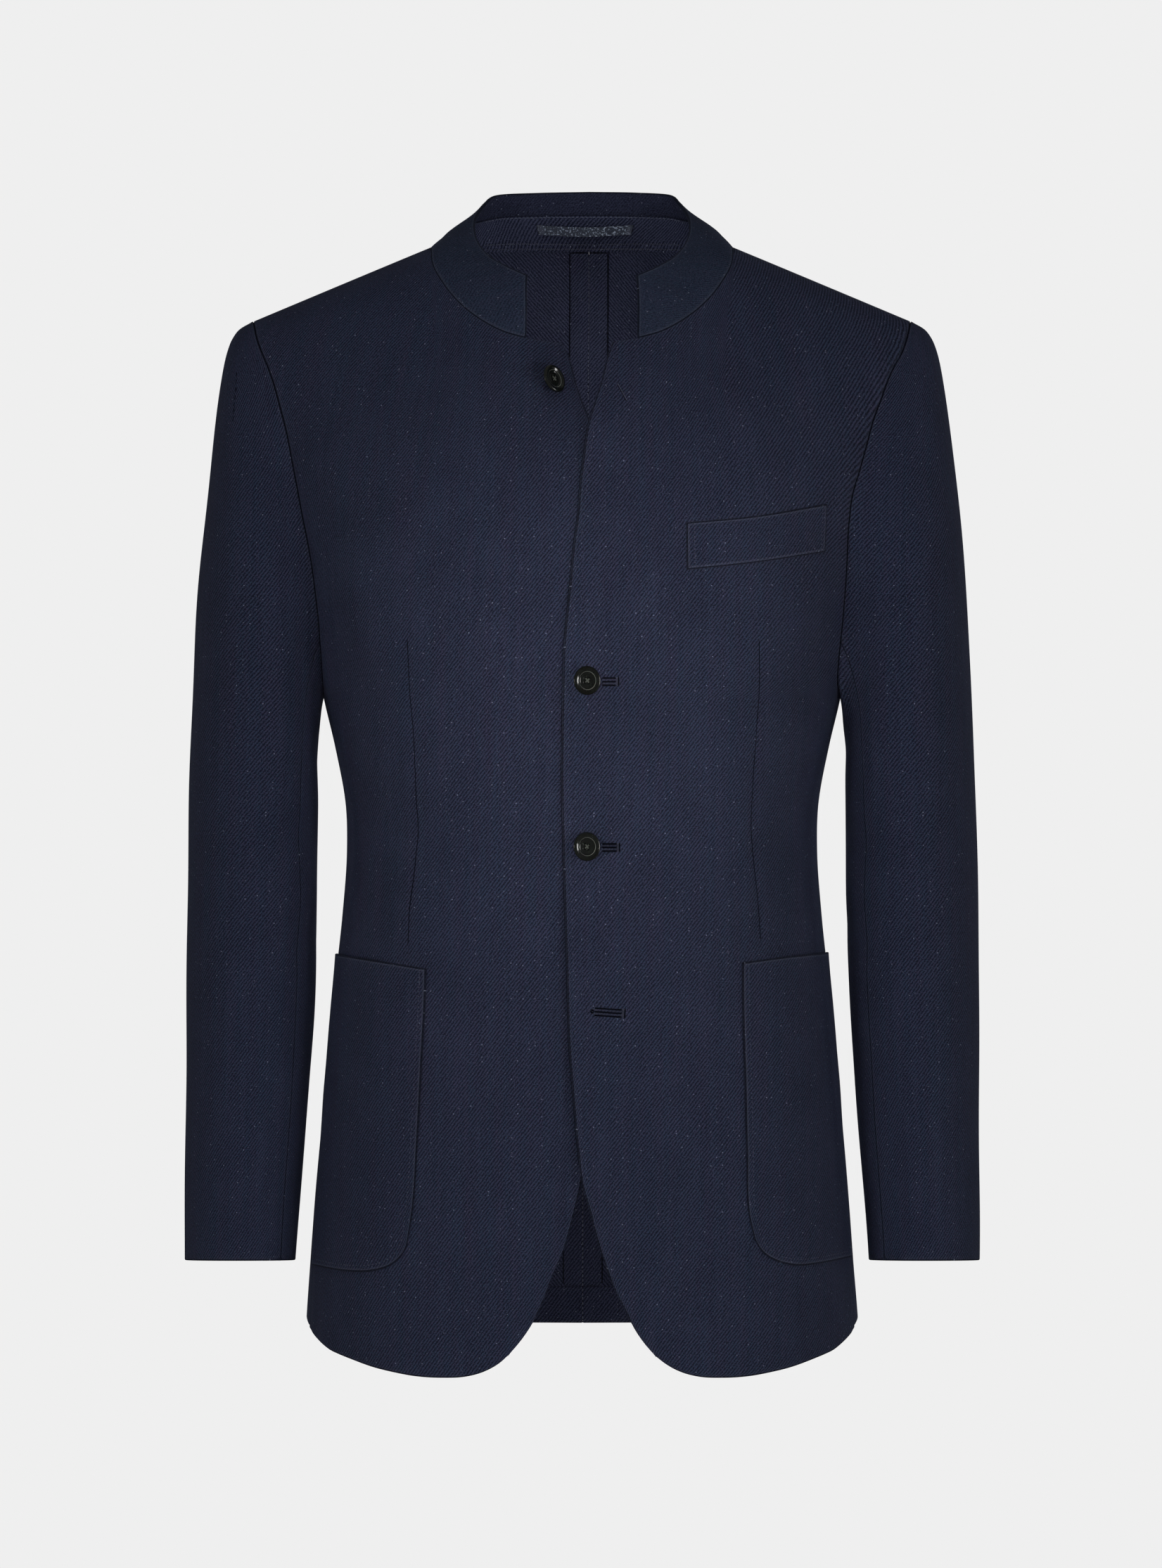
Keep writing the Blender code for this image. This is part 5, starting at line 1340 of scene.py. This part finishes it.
# %% Turned buttons with their thread
BUTTON_RADIUS, BUTTON_THICK = 10.2, 3.0
SHANK_RADIUS, SHANK_LENGTH, SEAT = 1.6, 1.2, 0.3
BUTTONS = dict(button_upper=(1.6, -303.6), button_lower=(1.4, -418.9), button_bottom=(3.6, -533.6),
               button_top=(-25.0, -96.6))
ON_RIGHT_FRONT = ("button_top", "button_bottom")
LEANING_BUTTONS = dict(                         # where the face looks, length of the thread shank
    button_top=((0.72, -0.61, 0.33), 5.8), button_upper=((0.42, -0.91, 0.03), 3.0),
    button_lower=((0.42, -0.91, 0.03), 3.0))
DISH_DEPTH, HOLE_DEPTH, HOLE_SPACING, HOLE_RADIUS, HOLE_TURN = 1.45, 1.5, 1.9, 0.85, math.pi / 4 + 0.12
FACE_RINGS, RIM_RINGS, BACK_RINGS, TURN_STEPS, TUBE_SIDES = 25, 30, 46, 96, 6
# This keeps the painted highlight rings to the button's face.
NOT_FACE = 99.0                                # added to radius_mm behind the face and its rim


def button_points(shank):
    """A table of radius and height, read smoothly, turned round the axis, less 1.5 exp(-(d / hole)^4)
    round each hole."""
    face = shank + BUTTON_THICK
    table = np.array([
        (0.02, face - DISH_DEPTH), (3.2, face - 1.4), (5.4, face - 1.3), (6.3, face - 0.75),
        (7.4, face - 0.3), (8.6, face + 0.02), (9.4, face - 0.12), (9.95, face - 0.6),
        (BUTTON_RADIUS, face - 1.2), (9.8, shank + 0.9), (8.6, shank + 0.3), (6.0, shank + 0.02),
        (2.2, shank), (SHANK_RADIUS, shank - 0.15), (SHANK_RADIUS, 0.1), (SHANK_RADIUS - 0.2, 0)])
    keyed = np.column_stack([walked(table), table])
    steps = np.concatenate([np.linspace(0, 6, FACE_RINGS), np.linspace(6.2, keyed[-1, 0], BACK_RINGS)])
    fine = smooth(keyed, steps)
    turn = np.arange(TURN_STEPS) * 2 * math.pi / TURN_STEPS
    x, y = fine[:, :1] * np.cos(turn), fine[:, :1] * np.sin(turn)
    height = np.broadcast_to(fine[:, 1:], x.shape).copy()
    for corner in range(4):
        a = HOLE_TURN + corner * math.pi / 2
        d = np.hypot(x - HOLE_SPACING * math.cos(a), y - HOLE_SPACING * math.sin(a))
        height[:FACE_RINGS] -= HOLE_DEPTH * np.exp(-(d[:FACE_RINGS] / HOLE_RADIUS) ** 4)
    return np.stack([x, y, height], axis=-1)


def turned_mesh(name, points, axes, seat):
    """Quads between rings, with a fan at each end, in the frame of the button's face."""
    rings, steps = points.shape[:2]
    index = np.arange(rings * steps).reshape(rings, steps)
    after = np.roll(index, -1, axis=1)
    sides = np.stack([index[:-1], after[:-1], after[1:], index[1:]], axis=-1).reshape(-1, 4).tolist()
    ends = np.array([(0, 0, points[0, :, 2].mean()), (0, 0, points[-1, :, 2].mean())])
    fans = [[rings * steps, after[0, k], index[0, k]] for k in range(steps)]
    fans += [[rings * steps + 1, index[-1, k], after[-1, k]] for k in range(steps)]
    local = np.concatenate([points.reshape(-1, 3), ends])
    radius = np.hypot(local[:, 0], local[:, 1]) + NOT_FACE * (np.arange(len(local)) > RIM_RINGS * steps)
    return fill_mesh(name, seat + local @ axes, sides + fans, radius_mm=radius)


def tubes(paths, radius):
    """Closed tubes round many lines at once: rings across each line, narrower at its two ends."""
    paths = np.asarray(paths, float)
    count, steps = paths.shape[:2]
    run = unit(np.gradient(paths, axis=1))
    a = unit(np.cross(run, (0.31, 0.17, 0.93)))[:, :, None]
    b = np.cross(run[:, :, None], a)
    turn = np.arange(TUBE_SIDES)[:, None] * 2 * math.pi / TUBE_SIDES
    size = radius * np.minimum(1, 0.45 + np.minimum(np.arange(steps), np.arange(steps)[::-1]))
    rings = paths[:, :, None] + size[None, :, None, None] * (np.cos(turn) * a + np.sin(turn) * b)
    index = np.arange(count * steps * TUBE_SIDES).reshape(count, steps, TUBE_SIDES)
    after = np.roll(index, -1, axis=2)
    walls = np.stack([index[:, :-1], after[:, :-1], after[:, 1:], index[:, 1:]], axis=-1).reshape(-1, 4)
    return rings.reshape(-1, 3), walls.tolist() + index[:, 0, ::-1].tolist() + index[:, -1].tolist()


def thread_piece(name, groups, finish, slot="wool_twill"):
    """One piece of many threads. Groups are pairs of lines and radius."""
    points, faces = np.empty((0, 3)), []
    for paths, radius in groups:
        some_points, some_faces = tubes(paths, radius)
        faces += [[k + len(points) for k in face] for face in some_faces]
        points = np.concatenate([points, some_points])
    place(name, fill_mesh(name, points, faces), finish, slot)


def thread_cross(dish):
    """Two bars of two threads each over the four holes, dipping into them, the second over the first."""
    t = np.linspace(-1, 1, 15)
    bars = []
    for second in (0, 1):
        a = HOLE_TURN + second * math.pi / 2
        for shift in (-0.22, 0.22):
            across = HOLE_SPACING * t[:, None] * np.array([math.cos(a), math.sin(a)])
            across = across + shift * np.array([-math.sin(a), math.cos(a)])
            lift = dish + 0.4 - 2.0 * np.clip(np.abs(t) - 0.75, 0, 1) + 0.28 * second
            bars.append(np.column_stack([across, lift]))
    return np.array(bars)


def make_button(name, x, z):
    """A turned button with its thread, at x and z on its front. A leaning one looks its own way."""
    form, side = (lapped_torso, -1) if name in ON_RIGHT_FRONT else (torso, 1)
    at = locate(np.array([side * x, z]))[None]
    cloth, out = form(at, side)[0], normals_of(form, at, side)[0]
    face, shank, seat = out, SHANK_LENGTH, SEAT
    if name in LEANING_BUTTONS:
        towards, shank = LEANING_BUTTONS[name]
        face = unit(np.array(towards))
        seat += SHANK_RADIUS * np.linalg.norm(np.cross(face, out))
    sideways = unit(np.cross(face, (0.0, 0.0, 1.0)))
    axes = np.stack([sideways, np.cross(sideways, face), face])
    middle = cloth + seat * out
    turned = name.replace("button", "turned_button")
    place(turned, turned_mesh(turned, button_points(shank), axes, middle), horn, "button_horn", [name])
    bars = middle + thread_cross(shank + BUTTON_THICK - DISH_DEPTH) @ axes
    thread_piece(name.replace("button", "button_thread"), [(bars, 0.28)], button_thread, "button_horn")


for name, (x, z) in BUTTONS.items():
    make_button(name, x, z)
print("buttons:", ", ".join(BUTTONS))

# %% [markdown]
# ## Stitching
# Thread is what shows that a jacket is sewn: pick stitches along the edges, worked buttonholes, darts
# closed by a seam, and denser rows inside the neck. The seams, darts and slits themselves are thin dark
# tubes of painted shade. Every row follows a line on the cloth. A stitch is a short tube whose ends dip,
# and one piece holds a whole row.

# %% Lines on the cloth and rows of stitches
def on_cloth(points, side=1, off=0.0):
    """Points on a front's cloth, given as x away from the centre and z, lifted off it by off."""
    form = torso if side == 1 else lapped_torso
    return lie(locate(np.asarray(points, float)), form, side, False, off)[0]


def inset(points, amount, count=400):
    """A smooth line through points, moved to its left by an amount."""
    line = along(points, np.linspace(0, 1, count))
    run = unit(np.gradient(line, axis=0))
    return line + amount * np.column_stack([-run[:, 1], run[:, 0]])


def row_of_stitches(line, length, gap, slant=0.0):
    """Short straight stitches cut from a line, each with a little of its own length and place."""
    walk = walked(line)
    starts = np.arange(gap, walk[-1] - length, length + gap)
    starts = starts + rng.uniform(-0.12, 0.12, len(starts)) * (length + gap)
    t = np.linspace(0, 1, 4)
    at = starts[:, None] + length * rng.uniform(0.85, 1.15, (len(starts), 1)) * t
    paths = np.stack([np.interp(at, walk, line[:, k]) for k in range(3)], axis=-1)
    paths[..., 2] += slant * (t - 0.5)
    return paths


def stitched(name, lines, length, gap, radius, finish=thread):
    """One piece of stitch rows, one row along each line."""
    thread_piece(name, [(row_of_stitches(line, length, gap), radius) for line in lines], finish)


def dark_line(name, line, radius):
    """One thin dark tube laid in a seam: painted shade."""
    thread_piece(name, [([line], radius)], shade_and_tacking_thread)


ON_POCKET, ON_WELT = 1.78, 1.72                # how far thread lies above the front's cloth
for word, side, _ in SIDES:
    shape = POCKETS[side]
    line = inset(np.concatenate([np.array(shape["inner"])[::-1], np.array(shape["bottom"])[1:]]), 4.5)
    rows = [(row_of_stitches(on_cloth(line[line[:, 0] < 184], side, ON_POCKET), 1.0, 2.4), 0.24)]
    for tack in (((4.4, -0.8), (4.4, -12.0)), ((0.8, -1.2), (5.2, -1.2))):
        ends = np.array(shape["top"][0]) + np.array(tack)
        tacked = on_cloth(np.linspace(*ends, 20), side, ON_POCKET + 0.02)
        rows.append((row_of_stitches(tacked, 0.9, 0.35), 0.26))
    thread_piece(f"stitches_pocket_{word}", rows, thread)
    # Down each dart's seam runs a dark line of painted shade.
    dart = along(DARTS[side], np.linspace(0, 1, 90))
    dark_line(f"seam_dart_{word}", on_cloth(dart, side), 0.36)
ends = [np.linspace(WELT["bottom"][k], WELT["top"][k], 30) + (shift, 0)
        for k, shift in ((0, 5.8), (-1, -3.5))]
welt_lines = [on_cloth(line, 1, ON_WELT) for line in (*ends, inset(WELT["bottom"], 2.2)[8:-8])]
stitched("stitches_welt", welt_lines, 1.0, 2.0, 0.24)
edge_line = inset(TOP_FRONT_EDGE[::-1], 4.6, 900)
stitched("stitches_front_edge", [on_cloth(edge_line[edge_line[:, 1] > -745], 1, 0.04)], 0.8, 5.2, 0.2)
# A dark line of painted shadow beside the top front's edge, where it laps over the other.
shadow_line = inset(TOP_FRONT_EDGE[::-1], -0.45, 900)
shadow_line = shadow_line[(shadow_line[:, 1] > -640) & (shadow_line[:, 1] < -112)]
dark_line("seam_front_edge", on_cloth(shadow_line, 1, -1.0), 0.2)
print("stitched rows:", [name for name in pieces if name.startswith("stitches")])


# %% Worked buttonholes
def worked_hole(name, start, end, bar, eyelet=0.0):
    """Close stitches across both lips of a slit, a bar across its end, and a round eye at its start,
    with dark lines of painted shade in the slit and where the stitches dent the cloth round them."""
    start, end, bar = (np.array(v, float) for v in (start, end, bar))
    run = unit(end - start)
    over = np.array([-run[1], run[0]])
    count = max(3, int(np.linalg.norm(end - start)))
    middles = start + (end - start) * (np.arange(count)[:, None] + 0.5) / count
    reach = np.linspace(0.75, 1.85, 4)[None, :, None]
    stitches = [middles[:, None] + way * over * reach for way in (1, -1)]
    if eyelet:
        turn = np.linspace(-2.6, 2.6, 11)[:, None]
        spoke = -np.cos(turn) * run + np.sin(turn) * over
        stitches.append(start + spoke[:, None] * (eyelet + np.linspace(0, 1.2, 4)[None, :, None]))
    t = np.linspace(-0.5, 0.5, 7)[None, :, None]
    bars = bar[None, None] + t * over * 6.0 + np.array([-0.45, 0.0, 0.45])[:, None, None] * run
    worked = [(on_cloth(np.concatenate(stitches), 1, 0.1), 0.24), (on_cloth(bars, 1, 0.2), 0.27)]
    thread_piece(name, worked, hole_thread)
    slit = start + (end - start) * np.linspace(0, 1, 30)[:, None]
    edges = np.array([slit + way * over * 2.5 for way in (1, -1)])
    beyond = np.array([bar + 1.1 * run + over * share for share in np.linspace(-3.3, 3.3, 9)])
    dent_shade_lines = ((edges, 0.1, 0.68), (slit[None], 0.2, 0.66), (beyond[None], 0.1, 0.6))
    dark = [(on_cloth(line, 1, off), radius) for line, off, radius in dent_shade_lines]
    thread_piece(name + "_slit", dark, shade_and_tacking_thread)


worked_hole("buttonhole_upper", (14.0, -304.3), (23.6, -304.3), (24.3, -304.2))
worked_hole("buttonhole_lower", (14.0, -419.4), (24.2, -419.4), (24.9, -419.3))
worked_hole("buttonhole_bottom", (8.6, -533.3), (27.6, -534.6), (28.6, -534.5), eyelet=1.1)
# The bottom buttonhole's round eye is a dark spot of painted shade.
eye_turn = np.arange(9) * 0.75
eye = np.array([(7.2, -533.2)]) + 0.9 * np.stack([np.cos(eye_turn), np.sin(eye_turn)], axis=-1)
dark_line("buttonhole_bottom_eye", on_cloth(eye, 1, 0.15), 0.75)
# The top buttonhole is one lip of thread beside a dark line of painted shade in its slit.
top_slit = np.linspace((24.6, -97.4), (31.0, -109.0), 24)
lip = top_slit + 0.5 * np.array([0.87, 0.48])
thread_piece("buttonhole_top", [([on_cloth(lip, 1, 0.05)], 0.24)], thread)
dark_line("buttonhole_top_slit", on_cloth(top_slit), 0.26)
print("buttonholes:", [name for name in pieces if name.startswith("buttonhole")])


# %% Threads inside the neck and along the centre back
shown = np.linspace(-72, 72, 300)
on_band = near + TRIM_CLOTH + 0.22 + 0 * shown
lower_z = np.linspace(BACK_HEM_Z + 2, BACK_NECK_Z - 2, 700)
centre = locate_at(spine_x(lower_z), lower_z, True)
facing = inside_collar(0.565, shown, on_band)
stitched("stitches_collar_facing", [facing], 1.9, 1.0, 0.27, pale_thread)
hem_rows = [(row_of_stitches(inside_collar(height, shown, on_band), 1.0, 0.45, slant), 0.3)
            for height, slant in ((0.045, 1.0), (0.095, -0.8))]
thread_piece("stitches_neck_band", hem_rows, thread)
# Dark lines of painted shade lie in the centre back seam, along the strips' edges, and in the armhole,
# shoulder and collar seams.
dark_line("seam_back_centre", lie(centre, torso, 1, True, -2.75)[0], 0.5)
strip_z = np.linspace(BACK_HEM_Z + BACK_TURN_UP + 2, BACK_NECK_Z - 1, 400)
strip_x = [spine_x(strip_z) + way * (SEAM_ALLOWANCE + 0.35) for way in (1, -1)]
edge_lines = [lie(locate_at(x, strip_z, True), torso, 1, True, -BODY_CLOTH - 0.7)[0] for x in strip_x]
thread_piece("seam_back_strips", [(edge_lines, 0.38)], shade_and_tacking_thread)
for word, side, _ in SIDES:
    hole = round_armhole(lambda behind: torso(armhole(behind, side), side), True)
    hole_line = hole + 1.1 * round_armhole(armhole_rim, True) + (0.2 * side, 0, 0)
    dark_line(f"seam_armhole_{word}", hole_line, 0.45)
    tip = shoulder(np.linspace(0.01, 0.99, 60), False)
    dark_line(f"seam_shoulder_{word}", torso(tip, side) - (0, 0, 1.1), 0.55)
dark_line("seam_collar", (grid - 1.0 * out)[0, 3:-3], 0.5)
stitched("stitches_back_centre", [lie(centre, torso, 1, True, -3.5)[0]], 2.1, 1.1, 0.24, pale_thread)
tacks, tack_rows = [], LOOP_HEIGHT + (LOOP_WIDTH + 1.0) / COLLAR_HEIGHT * np.linspace(-0.5, 0.5, 6)
for end in (-1, 1):
    for k in range(4):
        from_end = 0.8 + 0.85 * k
        across = LOOP_X + end * (LOOP_LENGTH / 2 - from_end)
        lift = near + TRIM_CLOTH + 0.75 + LOOP_CLOTH
        lift += LOOP_BOW * math.sqrt(math.cos(math.pi * (0.5 - from_end / LOOP_LENGTH)))
        tacks.append(inside_collar(tack_rows, across + 0 * tack_rows, lift + 0 * tack_rows))
thread_piece("stitches_loop", [(tacks, 0.27)], pale_thread)
print("inside threads:", round(float(walked(facing)[-1])), "mm of facing seam")


# %% The tacking left on the sleeve head
sleeve, sleeve_out = SLEEVES[-1]
in_front = sleeve[..., 1] < -12
target = np.linspace((-239.9, -86.7), (-242.8, -123.0), 40)
gaps = np.linalg.norm(sleeve[..., (0, 2)][None] - target[:, None, None], axis=-1)
gaps = np.where(in_front, gaps, np.inf).reshape(len(target), -1)
nearest = np.argsort(gaps, axis=1)[:, :4]
weights = 1 / (np.take_along_axis(gaps, nearest, axis=1) + 0.2)
weights = (weights / weights.sum(axis=1, keepdims=True))[..., None]
on_sleeve = ((sleeve + 0.12 * sleeve_out).reshape(-1, 3)[nearest] * weights).sum(axis=1)
stitched("stitches_sleeve_head", [on_sleeve], 3.4, 2.2, 0.28, shade_and_tacking_thread)
